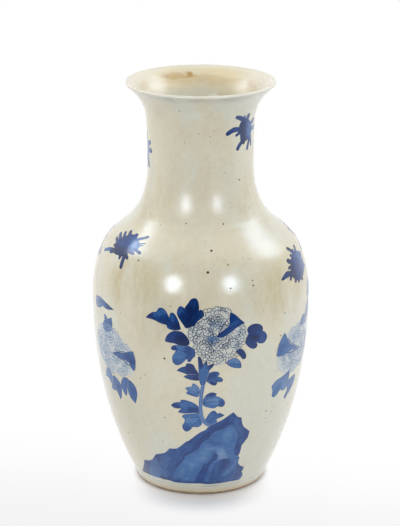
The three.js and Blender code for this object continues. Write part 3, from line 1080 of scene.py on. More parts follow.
# Leaves from this layer up lie over the flower
OVER_FLOWER = 20

UPPER_LEAVES = (
    (  # long leaf that points left
        ((-58.5, 57, 1), (-55, 61), (-50, 64.5), (-46, 65.5), (-44.5, 68), (-42, 70), (-38, 69.5),
         (-34.5, 66), (-32, 61, 1), (-31.5, 64.5), (-29, 66.5), (-25.5, 64), (-22.5, 58.5), (-20.5, 52),
         (-20, 48.5, 1), (-26, 47.5), (-31, 48), (-34.5, 50), (-35, 52.5, 1), (-41, 53.5), (-48, 56),
         (-54, 57)),
        (-20, 49), ((-50, 63), (-42, 68), (-29, 64)), 0.7,
        ((((-47, 63), (-38, 66)), 4, -0.16), (((-58, 57), (-52, 59)), 4, 0.2),
         (((-42, 57), (-36, 58)), 5, 0.12), (((-24, 52), (-20, 49)), 5, 0.25),
         (((-29, 62), (-27, 56)), 3, -0.08)), 2,
    ),
    (  # darkest leaf at the top
        ((-15, 50, 1), (-19, 56), (-23.5, 63), (-24, 68), (-22, 72.5), (-19, 73.5), (-16.5, 71.5, 1),
         (-13, 76.5), (-9.5, 81), (-5, 82), (-2.5, 79), (-1.5, 74), (-1.5, 69.5, 1), (0.5, 70.5),
         (3.3, 67), (3, 63), (0, 60.5), (-4, 57), (-6.5, 53), (-10, 52)),
        (-11, 52), ((-21, 70), (-7, 78), (1, 67)), 0.88,
        ((((-12, 56), (-10, 68)), 6, 0.12), (((-22, 68), (-19, 70)), 4, -0.2)), 4,
    ),
    (  # dark leaf in the middle on the left
        ((-37, 35, 1), (-35, 41), (-30, 46), (-25, 47.5), (-18, 46), (-12, 39), (-11, 34, 1),
         (-14, 31.5), (-20, 31.5), (-27, 33.5), (-33, 34)),
        (-13, 34), ((-35, 36), (-27, 45)), 0.86,
        ((((-34, 38), (-28, 44)), 4, -0.12), (((-20, 36), (-13, 34)), 6, 0.2)), 5,
    ),
    (  # lighter leaf under it
        ((-30.5, 28), (-28, 31.5), (-22, 32.5), (-14, 32.5), (-8.5, 30), (-5.5, 26), (-5.5, 21),
         (-8.5, 17.5), (-11, 14), (-13.5, 15), (-14, 17.5, 1), (-18, 13), (-22, 10.3), (-26, 10.3),
         (-29, 14), (-29, 19.5), (-26.5, 24), (-25.5, 26, 1), (-28.5, 26)),
        (-7, 25), ((-26, 14), (-28, 29), (-12, 17)), 0.42,
        ((((-26, 12), (-22, 11)), 5, 0.14), (((-12, 29), (-9, 17)), 5, 0.2),
         (((-30, 28), (-27, 28)), 3, 0.35)), 2,
    ),
    (  # upper blade of the pair beside the stem
        ((-25, 4, 1), (-20, 8), (-15.5, 9.5, 1), (-14.5, 13, 1), (-8, 12), (-5, 7), (-1.5, 1),
         (-1, -2, 1), (-6, 0), (-15, 1)),
        (-2, -1), ((-23, 4), (-13, 11)), 0.66, ((((-10, 8), (-6, 4)), 5, 0.2),), 2,
    ),
    (  # lower blade of the pair
        ((-18, -2.5, 1), (-15, -0.5), (-8, 0.5), (-1, -1), (0.5, -6, 1), (-5, -6.5), (-13, -5)),
        (-1, -4), ((-16, -2.5),), 0.66, ((((-5, -5), (0, -5)), 3, 0.3),), 3,
    ),
    (  # right leaf beside the stem
        ((5, -2), (8, 2), (13, 3.7), (18, 3), (19.5, 0, 1), (17.5, -2, 1), (21, -3.5), (23, -6.5),
         (21.5, -9, 1), (17, -8.5, 1), (15.5, -12), (12, -12), (7, -8.5), (4, -5.5)),
        (5, -3), ((18, 1), (21, -7), (13, -10)), 0.58,
        ((((8, -1), (14, 0)), 3, 0.15), (((12, -11), (15, -11)), 2.5, 0.3)), 2,
    ),
    (  # small light leaf under the flower
        ((25, 12.5, 1), (30, 8), (36, 5.5), (42, 5, 1), (42, 10), (39, 15), (34, 17.5), (29, 15.5)),
        (27, 12), ((40, 7),), 0.46, ((((30, 15), (38, 14)), 3, -0.12),), 42,
    ),
    (  # small dark round leaf
        ((35.5, 24, 1), (40, 27), (44, 25), (47, 20), (47, 15.5), (44, 14.3), (40, 19)),
        (37, 24), ((45, 16),), 0.86, (), 44,
    ),
    (  # lobed leaf on the right
        ((48, 46), (50.5, 49.5), (55, 51), (60, 50.8), (64.5, 48.5), (67, 45), (66.5, 42, 1),
         (69.5, 40), (72, 36), (71.5, 31.5), (68, 28.3), (63, 28.5), (59.5, 30.5, 1), (60.5, 27.5),
         (58.5, 24.5), (55, 24), (50.5, 26.5), (47, 30.5), (46.3, 35), (48.5, 38.5), (49.5, 41.5, 1)),
        (47, 36), ((63, 46), (69, 33), (57, 27)), 0.78,
        ((((68, 36), (65, 31)), 6, -0.14), (((52, 47), (62, 48)), 5, 0.12),
         (((56, 36), (60, 36)), 4, 0.25)), 2,
    ),
)
FLOWER_LEAF = (
    ((30, 67, 1), (36, 63), (41, 58), (46, 53.5, 1), (42, 52), (36, 49), (29, 44), (22, 40.5),
     (15, 41, 1), (20, 46), (26, 50.5), (29, 54), (29, 60)),
    (17, 41.5), ((43, 54), (31, 64)), 0.76, ((((28, 47), (36, 56)), 4, -0.08),), 44,
)
FLOWER_OUTLINE = (
    (-13, 50), (-14, 44), (-12, 38), (-8, 33), (-5, 26), (3, 18), (12, 12), (18, 10), (24, 12),
    (30, 16), (37, 24), (42, 29), (47, 36), (48.5, 42), (47, 49), (44, 55), (36, 63), (31, 68),
    (25, 72), (18, 73.5), (11, 71), (5, 68), (2, 63), (-2, 58), (-8, 55),
)
FLOWER_TOUCHES = (
    (((10, 38), (15, 39)), 3.6, 0.22), (((13, 55), (21, 53)), 4, 0.08), (((36, 30), (40, 42)), 6, 0.04),
)
# Ruffles of a peony: place and reach as shares of its half size, and the way they face
RUFFLES = (
    (-0.6, 0.12, 0.36, 178), (-0.38, 0.34, 0.26, 105), (-0.42, 0.0, 0.26, 340), (-0.5, -0.36, 0.28, 205),
    (-0.44, -0.32, 0.2, 60), (-0.12, -0.56, 0.4, 245), (0.02, -0.3, 0.24, 190), (0.38, -0.52, 0.36, 300),
    (0.66, -0.12, 0.34, 355), (0.66, 0.18, 0.26, 40), (0.4, 0.04, 0.22, 95), (0.24, -0.24, 0.22, 250),
    (0.1, -0.05, 0.18, 270), (-0.3, 0.72, 0.22, 120), (-0.02, 0.76, 0.22, 95), (0.24, 0.7, 0.24, 60),
    (0.42, 0.5, 0.18, 20), (-0.06, 0.46, 0.2, 130), (0.16, 0.4, 0.2, 40), (-0.12, 0.2, 0.18, 200),
    (0.22, 0.18, 0.2, 100), (-0.13, -0.08, 0.17, 90), (-0.16, -0.16, 0.15, 250), (0.5, -0.3, 0.2, 120),
    (0.46, 0.28, 0.18, 60), (-0.2, 0.56, 0.16, 200), (0.06, 0.6, 0.14, 280), (0.44, -0.14, 0.18, 200),
    (0.16, -0.46, 0.2, 90), (-0.3, 0.16, 0.14, 30), (-0.5, 0.06, 0.2, 200), (-0.62, -0.1, 0.18, 160),
    (-0.2, -0.34, 0.2, 120), (0.12, 0.04, 0.2, 320), (0.3, -0.06, 0.16, 30), (0.02, 0.34, 0.16, 80),
    (-0.34, -0.14, 0.16, 150), (0.6, 0.04, 0.16, 300), (-0.46, 0.2, 0.18, 60), (-0.26, 0.46, 0.16, 20),
    (0.08, 0.5, 0.18, 150), (-0.04, -0.66, 0.2, 60), (-0.3, -0.5, 0.18, 20), (0.3, -0.4, 0.16, 140),
    (-0.7, 0.3, 0.18, 150), (0.02, 0.2, 0.16, 120), (0.0, 0.62, 0.14, 90), (0.14, 0.8, 0.14, 90),
    (-0.14, 0.62, 0.14, 160), (-0.4, 0.1, 0.14, 200), (-0.54, 0.2, 0.12, 90), (0.56, -0.28, 0.16, 330),
)
CALYX_TOUCHES = (
    (((-1.5, 20), (0.5, 10)), 2.5, 0.4), (((12, 12), (9, 9)), 2.5, 0.3), (((6, 16), (6, 12)), 1.5, 0.25),
)
CALYX = (
    (-1, -9), (-2, 0), (-2.5, 9), (-3, 21, 1), (0, 20), (2.6, 12, 1), (6, 17.5, 1), (7, 11, 1),
    (10, 11.5), (14.5, 14.5, 1), (13, 10), (9, 5), (8, 1), (6, -5), (4.5, -10), (1, -12),
)

LOWER_LEAVES = (
    (  # pale leaf on the left of the stem
        ((-17, 25, 1), (-12, 27), (-9.5, 27, 1), (-8, 31.5, 1), (-4, 29), (-1, 25), (-1, 18),
         (-3, 14.5, 1), (-9, 16.5), (-16, 19, 1), (-13, 22, 1)),
        (-1, 20), ((-15, 25), (-7, 29), (-14, 19.5)), 0.34, ((((-15, 19), (-4, 15)), 2, 0.25),), 2,
    ),
    (  # leaf on the right of the stem
        ((1, 9), (3, 14), (6, 18), (11, 20.5), (16.5, 18.5), (15, 16.3, 1), (20, 14), (24, 10.5),
         (25, 5.5), (22, 2.3, 1), (17, 3.5, 1), (13.5, 1, 1), (8, 2.5), (3, 4.5)),
        (1.5, 8), ((15, 18), (23, 8), (14, 3)), 0.43,
        ((((6, 18), (15, 18.5)), 2.5, 0.3), (((21, 8), (22, 4)), 3, 0.2),
         (((8, 10), (16, 10)), 4, -0.08)), 2,
    ),
    (  # dark leaf on the left
        ((0, 0), (-4, 6), (-11, 10), (-20, 11.5), (-21, 8.5, 1), (-27, 7.5), (-31, 4, 1), (-27, 0.5),
         (-20, 1, 1), (-24, -4, 1), (-17, -5), (-9, -4), (0, -3)),
        (-1, -2), ((-18, 10), (-29, 4), (-21, -3.5)), 0.58,
        ((((-29, 4), (-24, 4)), 3, 0.2), (((-10, 0), (-2, -2)), 4, 0.2),
         (((-16, 6), (-10, 5)), 4, -0.1)), 3,
    ),
    (  # lighter leaf under it
        ((1, -4), (-8, -4.5), (-17, -6), (-20, -9, 1), (-16.5, -12, 1), (-17, -16), (-19, -20),
         (-18.5, -24), (-15, -27.5), (-11, -25.5), (-8, -21, 1), (-3, -21.5), (1, -18), (2, -10)),
        (1, -8), ((-17, -9), (-15, -24), (-3, -19)), 0.45,
        ((((-17, -22), (-13, -25)), 5, 0.2), (((-12, -12), (-5, -12)), 4, -0.1)), 2,
    ),
    (  # right leaf above the rock
        ((3, -13), (5.5, -10), (7.5, -6), (10, -2.8), (13.2, -1), (15.8, -2.8), (17, -5, 1),
         (20.5, -4.6), (24.7, -8, 1), (21, -10), (16.5, -11.8, 1), (16.8, -16), (16, -20), (10, -21),
         (5, -18.5)),
        (4, -17), ((13, -3), (22, -8)), 0.47,
        ((((14, -4), (22, -8)), 3, 0.15), (((8, -16), (13, -10)), 3, 0.06)), 2,
    ),
)
STEM = ((3, 34), (1, 20), (0, 10), (0, 0), (1, -8), (4, -15.5), (9.5, -20), (16, -21.5))
STALK = ((24, 12.5), (26, 12.5), (30, 12))

ROCK_CELL = 1.3
ROCK_OUTLINE = (
    (-73, -47, 1), (-70, -41), (-67, -32), (-66, -26, 1), (-60, -24.5, 1), (-54, -21, 1), (-51, -15),
    (-47, -11, 1), (-42, -9), (-38, -7), (-35, -3), (-33, 0, 1), (-25, 1), (-21, 4), (-18, 8, 1),
    (-15, 11.5), (-12, 13, 1), (-8, 16), (-4, 21, 1), (0, 24.5), (5, 27, 1), (7, 30), (10, 32, 1),
    (16, 35.5), (23, 39, 1), (28, 42), (32, 45.5), (34, 46.5, 1), (36, 43), (39, 40, 1), (43, 38.5, 1),
    (44, 31), (46, 26, 1), (49, 21.5), (53, 19, 1), (51, 15), (51, 11, 1), (47, 8), (44, 2, 1),
    (42, -2), (42, -8), (40, -12, 1), (42, -14), (41, -18), (40, -22, 1), (43, -27), (48, -30, 1),
    (46, -34), (45, -37, 1), (47, -41), (45, -46), (42, -49, 1), (30, -48.5), (8, -49.5), (0, -48),
    (-15, -48.5), (-28, -49), (-38, -47), (-50, -48),
)
ROCK_TOUCHES = (
    # the pale zone in the middle, palest beside the hollow, with darker strokes between
    (((-18, -38), (-12, -20), (2, -8), (8, 2)), 7, -0.1),
    (((19, 1), (22, -6), (23, -11)), 5.5, -0.2),
    (((27, 14), (30, 24)), 5, -0.1),
    (((4, -18), (6, -30), (2, -42)), 3, 0.1),
    (((10, 12), (20, 4), (14, -4)), 3, 0.08),
    (((-24, -46), (-14, -32), (-16, -22)), 3, 0.08),
    # pooled cobalt along the foot
    (((-30, -47), (0, -48), (42, -48)), 3, 0.2),
)
# Facets of the rock that lie over it, each with a crisp edge: outline, tone, touches
ROCK_FACETS = (
    (  # the dark band down the upper edge and the right side
        ((-51, -15), (-47, -11, 1), (-38, -7), (-33, 0, 1), (-25, 1), (-18, 8, 1), (-12, 13, 1),
         (-4, 21, 1), (5, 27, 1), (10, 32, 1), (23, 39, 1), (34, 46.5, 1), (39, 40, 1), (43, 38.5, 1),
         (44, 31), (46, 26, 1), (53, 19, 1), (51, 11, 1), (44, 2, 1), (42, -8), (40, -12, 1), (36, -10),
         (35, 0, 1), (38, 8), (40, 18, 1), (37, 25), (34, 31), (29, 31, 1), (25, 27), (17, 25.5, 1),
         (12, 22), (8, 15, 1), (2, 11), (-2, 2, 1), (-9, -3), (-16, -8, 1), (-19, -16), (-22, -21, 1),
         (-27, -30), (-29, -37, 1), (-33, -47), (-46, -47, 1), (-43, -34), (-46, -22)),
        0.66,
        ((((-40, -40), (-40, -26), (-36, -14)), 5, -0.1),
         (((-4, 8), (6, 20), (16, 28), (28, 34)), 3, 0.14),
         (((38, 34), (42, 24)), 4, -0.12), (((-24, -22), (-16, -10), (-6, 2)), 2.5, 0.12),
         (((-44, -46), (-34, -46)), 3, 0.2), (((40, 4), (41, -8)), 3, 0.12)),
    ),
    (  # the hollow and the dark fold under it
        ((15, -4), (18, -8, 1), (16.5, -13), (12, -17, 1), (8.5, -23), (6, -33, 1), (3, -40),
         (3, -47.5, 1), (-6, -48, 1), (-5, -40), (-3, -33, 1), (1, -26), (3, -20, 1), (8, -17),
         (11, -11, 1)),
        0.71, (),
    ),
    (  # the fold between the pale ridge and the last facet
        ((21, -13), (31, -14, 1), (32, -20), (28.5, -26, 1), (24, -30), (20, -37, 1), (17, -47.5, 1),
         (8, -48, 1), (9, -38), (12, -29, 1), (14, -21)),
        0.62, ((((26, -16), (22, -26)), 4, 0.14),),
    ),
    (  # the last facet, at the lower right
        ((40, -14, 1), (36, -16), (34, -22, 1), (30, -28), (25, -31, 1), (21, -36), (18, -47.5, 1),
         (42, -48.8, 1), (45, -46), (46.5, -41), (45, -37, 1), (47.5, -30.5), (43, -27), (40.2, -22, 1),
         (41, -18)),
        0.6, ((((38, -18), (34, -28), (25, -36)), 3, -0.2), (((44, -34), (38, -46)), 4, 0.1)),
    ),
    (  # the thin left end
        ((-66, -26, 1), (-60, -24.5, 1), (-58, -30), (-60, -38, 1), (-60, -46.5), (-73, -47, 1),
         (-70, -41), (-67, -32)),
        0.7, ((((-70, -46), (-60, -46)), 2.5, 0.2),),
    ),
)

LEFT_FLOWER = (
    (-20, 12), (-17, 24), (-8, 31), (4, 36), (16, 35), (28, 33), (40, 27), (50, 20), (55, 10), (54, 0),
    (50, -8), (42, -12), (33, -16), (22, -15), (10, -16), (-2, -12), (-13, -6), (-19, 3),
)
LEFT_LEAVES = (
    (  # wedge that cuts into the flower
        ((20, 7, 1), (30, 11), (40, 12.5), (48, 16), (54, 18, 1), (56, 8), (55, 0), (53, -5, 1),
         (49, -2), (47, 3), (40, 5), (30, 6)),
        (22, 7.5), ((52, 15), (52, -2)), 0.5, ((((46, 10), (52, 6)), 5, 0.12),), 44,
    ),
    (  # leaf above the flower
        ((5, 29), (4, 35), (8, 40, 1), (7.5, 47, 1), (12, 46), (15, 43, 1), (23, 47, 1), (24, 38),
         (20, 31), (14, 28)),
        (13, 29), ((7, 36), (10, 45), (21, 44)), 0.45, ((((14, 40), (20, 40)), 4, 0.12),), 2,
    ),
    (  # long thin leaf
        ((-15, 60, 1), (-5, 62), (10, 60.5), (28, 56, 1), (14, 53), (4, 54, 1), (-2, 50), (-15, 50)),
        (-14, 55), ((24, 56.5), (2, 53)), 0.5, ((((16, 57), (28, 56)), 5, 0.3),), 2,
    ),
    (  # dark leaf under the flower, in the middle
        ((8, -37, 1), (12, -25), (17, -19), (27, -24), (28.5, -31), (26, -40), (22.5, -46.5, 1),
         (20, -41), (17, -36, 1), (13, -38)),
        (18, -20), ((11, -34), (22, -43)), 0.48, ((((22, -40), (24, -30)), 4, 0.14),), 2,
    ),
    (  # narrow leaf beside it
        ((28, -28), (31, -20), (36, -15.5), (43, -17), (38, -25), (37, -33), (33.5, -38.5, 1),
         (30, -33)),
        (37, -17), ((33, -36),), 0.46, (), 3,
    ),
    (  # leaf under the flower's right end
        ((38, -22), (42, -17), (48, -19), (51.5, -25), (51, -33), (46, -43.5, 1), (40.5, -38),
         (38, -30)),
        (43, -18), ((46, -41), (40, -34)), 0.46, ((((44, -36), (48, -28)), 4, 0.1),), 2,
    ),
    (  # pale leaf under the flower's left end
        ((-4, -28, 1), (2, -16), (9, -13), (14, -20), (12, -28), (8, -31.5, 1), (3, -26)),
        (8, -14), ((0, -25), (9, -29)), 0.4, (), 2,
    ),
)
RIGHT_FLOWER = (
    (-41, 6), (-41, 16), (-37, 24), (-28, 30), (-18, 34), (-6, 35), (8, 35), (20, 32), (29, 24),
    (32, 12), (30, 0), (22, -9), (10, -15), (-2, -17), (-16, -16), (-28, -13), (-37, -6),
)
RIGHT_LEAVES = (
    (  # wedge that cuts into the flower
        ((-31, 33, 1), (-26, 25), (-20, 17.5), (-11, 12.5), (-1, 7, 1), (-9, 7.5), (-17, 9.5), (-26, 8),
         (-36, 7.5), (-42, 9, 1), (-41, 17), (-38, 25)),
        (2, 7), ((-30, 28), (-39, 12)), 0.43, ((((-34, 16), (-28, 18)), 6, 0.12),), 44,
    ),
    (  # broad pale leaf under the flower
        ((-43, -24, 1), (-37, -19), (-28, -17), (-20, -14.5), (-15, -13, 1), (-14, -22), (-16, -33),
         (-24, -35, 1), (-27, -32, 1), (-33, -38), (-39, -37.5), (-40, -31, 1)),
        (-16, -15), ((-40, -24), (-36, -35), (-20, -33)), 0.35, ((((-36, -34), (-30, -28)), 4, 0.14),), 2,
    ),
    (  # pointed leaf beside it
        ((-15, -26), (-8, -23.5), (0, -22, 1), (2, -30), (-3, -38), (-10, -44), (-14, -48, 1),
         (-17, -44), (-14, -38)),
        (-1, -24), ((-14, -45), (-13, -31)), 0.42, ((((-14, -42), (-8, -36)), 4, 0.14),), 3,
    ),
    (  # low leaf above the flower
        ((0, 33), (6, 41), (13, 40, 1), (16, 44, 1), (22, 38), (24, 31), (14, 29)),
        (12, 31), ((7, 39), (17, 41)), 0.46, (), 2,
    ),
    (  # leaf behind it
        ((14, 34), (16, 43), (20, 50), (27, 56, 1), (33, 49), (34, 40), (28, 33)),
        (22, 34), ((25, 53), (32, 44)), 0.5, (), 3,
    ),
    (  # highest leaf
        ((22, 58), (24, 66), (30, 76, 1), (35, 68, 1), (44, 70), (42, 60), (34, 55)),
        (32, 57), ((29, 73), (41, 67)), 0.5, (), 2,
    ),
)

# Sprigs: the core, its touches, and its lobes: path, widths from the core out, change of tone at the tip
LEFT_SPRIG = (
    ((-34, 3), (-37, 8), (-34, 13), (-29, 17), (-24, 21), (-17, 24), (-10, 23), (-6, 20), (0, 17),
     (3, 12), (0, 7), (-6, 4), (-9, 0), (-15, -3), (-22, -3), (-29, -3)),
    ((((-34, 1), (-20, 2), (-8, 2)), 5, 0.32), (((-4, 15), (2, 11)), 8, -0.42),
     (((-14, 20), (-8, 14)), 6, -0.12)),
    (
        (((-10, 2), (-10.5, -7), (-10, -15)), (4.6, 5.2, 4.6), 0.2),
        (((-17, 1), (-17, -6.5)), (4.4, 4.0), 0.2),
        (((-10, 2), (-4, -3.5)), (4.0, 3.6), 0.2),
        (((-8, 5), (1.5, 4)), (4.0, 3.2), 0.4),
        (((-6, 9), (1, 8.5), (9, 6)), (4.0, 3.0, 3.6), 0.6),
        (((-4, 13), (6, 15.5)), (1.6, 1.2), 0.2),
        (((-4, 15), (7, 18.5)), (1.6, 1.2), 0.25),
        (((-8, 19), (-1, 23), (6, 27)), (4.0, 3.4, 3.6), 0.3),
        (((-13, 19), (-11, 26.5)), (5.6, 6.4), 0.1),
        (((-21, 19), (-25, 27)), (5.0, 5.4), 0.1),
        (((-27, 14), (-33, 23)), (5.0, 4.4), 0.05),
        (((-30, 11), (-42, 18.5)), (5.0, 4.2), 0.05),
        (((-32, 8), (-43, 12)), (4.2, 3.6), 0.1),
        (((-31, 6), (-38, 4)), (4.2, 3.8), 0.25),
        (((-28, 0), (-42, -2), (-56, -7)), (5.0, 4.0, 3.0), -0.3),
        (((-30, -1), (-39, -4.5)), (3.4, 3.0), -0.1),
    ),
)
RIGHT_SPRIG = (
    ((8, -17), (11, -12), (18, -8), (27, -5), (36, -7), (44, -12), (47, -20), (44, -28), (36, -32),
     (27, -35), (18, -34), (11, -31), (7, -26), (6, -21)),
    ((((10, -14), (9, -28)), 7, 0.26), (((40, -14), (42, -26)), 9, -0.2),
     (((24, -8), (34, -8)), 5, -0.14)),
    (
        (((24, -9), (20, -2), (14, 2)), (5.0, 4.4, 4.0), 0.25),
        (((22, -10), (14, -6)), (3.8, 3.4), 0.25),
        (((14, -15), (9, -11), (4.5, -10)), (4.4, 5.4, 5.6), 0.1),
        (((12, -18), (6, -17), (3, -18.5)), (4.0, 3.2, 2.8), 0.15),
        (((9, -25), (0, -22.5), (-12, -26)), (5.0, 6.6, 2.2), 0.15),
        (((10, -25), (6, -26), (2, -30)), (4.0, 3.6, 3.2), 0.15),
        (((14, -28), (11.5, -35)), (5.0, 4.4), 0.1),
        (((18, -29), (20, -37)), (5.0, 4.0), 0.1),
        (((24, -29), (31, -37)), (5.4, 4.2), 0.1),
        (((31, -10), (34, 0)), (5.4, 4.6), 0.15),
        (((25, -9), (25, -2)), (4.0, 3.4), 0.15),
        (((38, -12), (48, -13)), (5.0, 4.6), 0.1),
        (((40, -24), (49, -27)), (5.0, 4.0), 0.1),
    ),
)
NECK_SPRIG = (
    ((-1.5, 14), (-1, 18), (3, 22), (9, 23), (15, 20), (20, 15), (22, 9), (21, 3), (15, 0), (9, -2),
     (4, -3), (1.5, 1), (0.5, 7)),
    ((((4, 16), (5, 6), (6, 0)), 5.5, 0.32), (((19, 8), (21, 14)), 7, -0.2)),
    (
        (((2, 12), (-8, 13.5), (-17.5, 9.5)), (4.6, 5.6, 4.4), 0.15),
        (((1, 10), (-6, 6.5)), (3.4, 3.0), 0.15),
        (((7, 20), (0, 24.5), (-8, 27.5)), (5.4, 5.2, 3.6), 0.15),
        (((7, 21), (5, 27)), (3.0, 2.6), 0.1),
        (((10, 19), (13, 28)), (6.0, 5.0), 0.1),
        (((5, 0), (0, -4), (-3.5, -9)), (4.8, 4.4, 4.2), 0.2),
        (((9, 1), (5.5, -4)), (4.4, 3.6), 0.2),
        (((18, 3), (15, -6), (12.5, -11.5)), (5.0, 4.2, 3.8), 0.15),
        (((19, 4), (22.5, -9)), (4.0, 3.4), 0.05),
        (((17, 14), (28, 19)), (5.4, 4.6), 0.0),
        (((18, 9), (31, 10)), (5.4, 4.8), 0.0),
    ),
)

# Sprigs round the vase: bearing in degrees, height in millimetres, -1 for mirrored, tone, drawing
SPRIGS = (
    ("left_shoulder_sprig", -45, 262, 1, 0.78, LEFT_SPRIG),
    ("right_shoulder_sprig", 55, 262, 1, 0.78, RIGHT_SPRIG),
    ("back_left_shoulder_sprig", -88, 270, -1, 0.78, RIGHT_SPRIG),
    ("back_shoulder_sprig", 176, 262, -1, 0.78, LEFT_SPRIG),
    ("back_right_shoulder_sprig", 118, 256, 1, 0.78, LEFT_SPRIG),
    ("right_neck_sprig", 45, 375, 1, 0.68, NECK_SPRIG),
    ("left_neck_sprig", -97, 351, 1, 0.68, NECK_SPRIG),
    ("back_neck_sprig", 176, 372, -1, 0.68, NECK_SPRIG),
)

# The larger iron specks: bearing in degrees, height and radius in millimetres, darkness
SPECKS = (
    (-2, 387, 0.9, 0.5), (14, 390, 0.8, 0.4), (10, 384, 0.8, 0.5), (10, 378, 0.7, 0.35),
    (45, 335, 1.3, 0.9), (20, 295, 1.4, 0.85), (-13, 296, 1.1, 0.6), (7, 274, 1.9, 0.8),
    (16, 262, 1.5, 0.6), (4, 256, 2.0, 0.85), (16, 240, 1.4, 0.75), (29, 245, 1.3, 0.6),
    (29, 240, 1.4, 0.7), (-19, 166, 1.6, 0.95), (34, 213, 1.0, 0.5), (49, 204, 1.2, 0.6),
    (46, 181, 1.3, 0.7), (41, 98, 1.3, 0.55), (46, 95, 1.1, 0.5), (42, 89, 1.1, 0.4),
    (-21, 98, 1.3, 0.5), (-54, 65, 1.1, 0.5), (-24, 68, 1.0, 0.4), (-34, 139, 1.2, 0.5),
    (-31, 144, 1.0, 0.4), (-39, 261, 1.8, 0.75), (-17, 377, 0.8, 0.4), (-20, 411, 1.3, 0.5),
    (-46, 205, 1.0, 0.45), (-60, 208, 1.0, 0.45), (-12, 216, 1.2, 0.4),
)
FINE_SPECKS = 110


def paint_leaves(film, leaves):
    for leaf in leaves:
        film.leaf(*leaf)


def paint_front_spray(name, azimuth, flip, seed):
    """A peony on its leafy stem, drawn from two heights on the wall."""
    film = Film(name, Place(azimuth, LOW_SPRAY_HEIGHT, flip))
    paint_leaves(film, LOWER_LEAVES)
    film.stroke(STEM, (4.2, 3.8, 4.2, 2.4), 0.34, line=0.3, level=5)
    film.place = Place(azimuth, SPRAY_HEIGHT, flip)
    paint_leaves(film, UPPER_LEAVES)
    film.flower(FLOWER_OUTLINE, seed, FLOWER_TOUCHES)
    paint_leaves(film, (FLOWER_LEAF,))
    film.wash(CALYX, 0.5, level=44, base=(2, -6), touches=CALYX_TOUCHES)
    film.stroke(STALK, (1.0, 1.4, 0.8), 0.7, level=46)
    film.done()


def paint_side_spray(name, azimuth, outline, leaves, seed):
    """A paler peony, with some of its leaves under the flower and some over it."""
    film = Film(name, Place(azimuth, SPRAY_HEIGHT))
    paint_leaves(film, [leaf for leaf in leaves if leaf[-1] < OVER_FLOWER])
    film.flower(outline, seed, ink=0.09, white=0.9)
    paint_leaves(film, [leaf for leaf in leaves if leaf[-1] >= OVER_FLOWER])
    film.done()


class VASE_OT_peony_sprays(bpy.types.Operator):
    """Paints the peonies: one in front, one behind and one on each side"""

    bl_idname = "vase.peony_sprays"
    bl_label = "Paint Peony Sprays"

    def execute(self, context):
        paint_front_spray("front_peony_spray", 0, 1, 11)
        paint_front_spray("back_peony_spray", 180, -1, 23)
        paint_side_spray("left_peony_spray", -65, LEFT_FLOWER, LEFT_LEAVES, 31)
        paint_side_spray("right_peony_spray", 65, RIGHT_FLOWER, RIGHT_LEAVES, 43)
        return {"FINISHED"}


class VASE_OT_rocks(bpy.types.Operator):
    """Paints the pierced rock that each tall spray grows from"""

    bl_idname = "vase.rocks"
    bl_label = "Paint Rocks"

    def execute(self, context):
        for name, azimuth, flip in (("front_rock", 0, 1), ("back_rock", 180, -1)):
            film = Film(name, Place(azimuth, ROCK_HEIGHT, flip))
            film.cell = ROCK_CELL
            film.wash(
                ROCK_OUTLINE, 0.49, line=0.2, level=6, touches=ROCK_TOUCHES, streak=0.5, grain=12,
                steps=2,
            )
            for outline, tone, touches in ROCK_FACETS:
                film.wash(
                    outline, tone, line=0.12, level=8, touches=touches, streak=0.5, grain=60, steps=2,
                    buried=0.4,
                )
            film.done()
        return {"FINISHED"}


class VASE_OT_sprigs(bpy.types.Operator):
    """Paints the loose sprigs on the shoulder and the neck"""

    bl_idname = "vase.sprigs"
    bl_label = "Paint Sprigs"

    def execute(self, context):
        for name, azimuth, height, flip, tone, sprig in SPRIGS:
            film = Film(name, Place(azimuth, height, flip))
            core, touches, lobes = sprig
            film.wash(core, tone, line=0.0, base=core[0], touches=touches, streak=0.5, buried=0.5)
            for level, (path, widths, change) in enumerate(lobes, 3):
                film.stroke(path, widths, (tone, tone + change), 0.0, level, touches=touches, buried=0.5)
            film.done()
        return {"FINISHED"}


class VASE_OT_iron_specks(bpy.types.Operator):
    """Scatters the iron specks that came through the glaze"""

    bl_idname = "vase.iron_specks"
    bl_label = "Scatter Iron Specks"

    def execute(self, context):
        marks = list(SPECKS)
        draw = random.Random(7)
        for _ in range(FINE_SPECKS):
            azimuth = draw.uniform(0, 360)
            height = draw.triangular(30, 405, 250)
            in_front = math.cos(math.radians(azimuth)) > 0
            size = draw.uniform(0.4, 0.85 if in_front else 1.6)
            marks.append((azimuth, height, size, draw.uniform(0.25, 0.75)))
        film = Film("iron_specks", Place(0, 100))
        for azimuth, height, radius, darkness in marks:
            film.place = Place(azimuth, height)
            verts = bmesh.ops.create_circle(
                film.bm, cap_ends=True, cap_tris=True, segments=12, radius=radius,
            )["verts"]
            faces = list({face for vert in verts for face in vert.link_faces})
            flat = np.array([vert.co[:2] for vert in verts])
            from_rim = 1 - np.hypot(flat[:, 0], flat[:, 1]) / radius
            flat[:, 0] *= draw.uniform(0.8, 1.15)
            film.lay(verts, faces, flat, 0, min(1, darkness + 0.2), from_rim)
        film.done(porcelain_material("iron_in_glaze", iron_paint))
        return {"FINISHED"}


# The studio

# The camera's place in metres, its tilt down in degrees, and how far its view is shifted, in pixels
# of a picture as high as this
CAMERA_PLACE = (0, -2.11675, 0.89477)
CAMERA_TILT = 17.338
VIEW_SHIFT = -0.7
VIEW_HEIGHT = 526

# The floor: radius and depth under the foot in metres, share of sheen, and where the shadow lies
FLOOR_RADIUS = 7
FLOOR_DROP = 0.3 * MM
FLOOR_SHEEN = 0.22
SHADOW_CENTRE = (0, -0.045, 0)

AIM_HEIGHT = 0.24
COOL_WHITE = (0.72, 0.82, 1.0)
# Lamps that only light: bearing and elevation in degrees, distance and width in metres
SIDE_BOX = (108, 36, 1.5, 1.15)
FRONT_FILL = (0, 43, 1.8, 1.6)
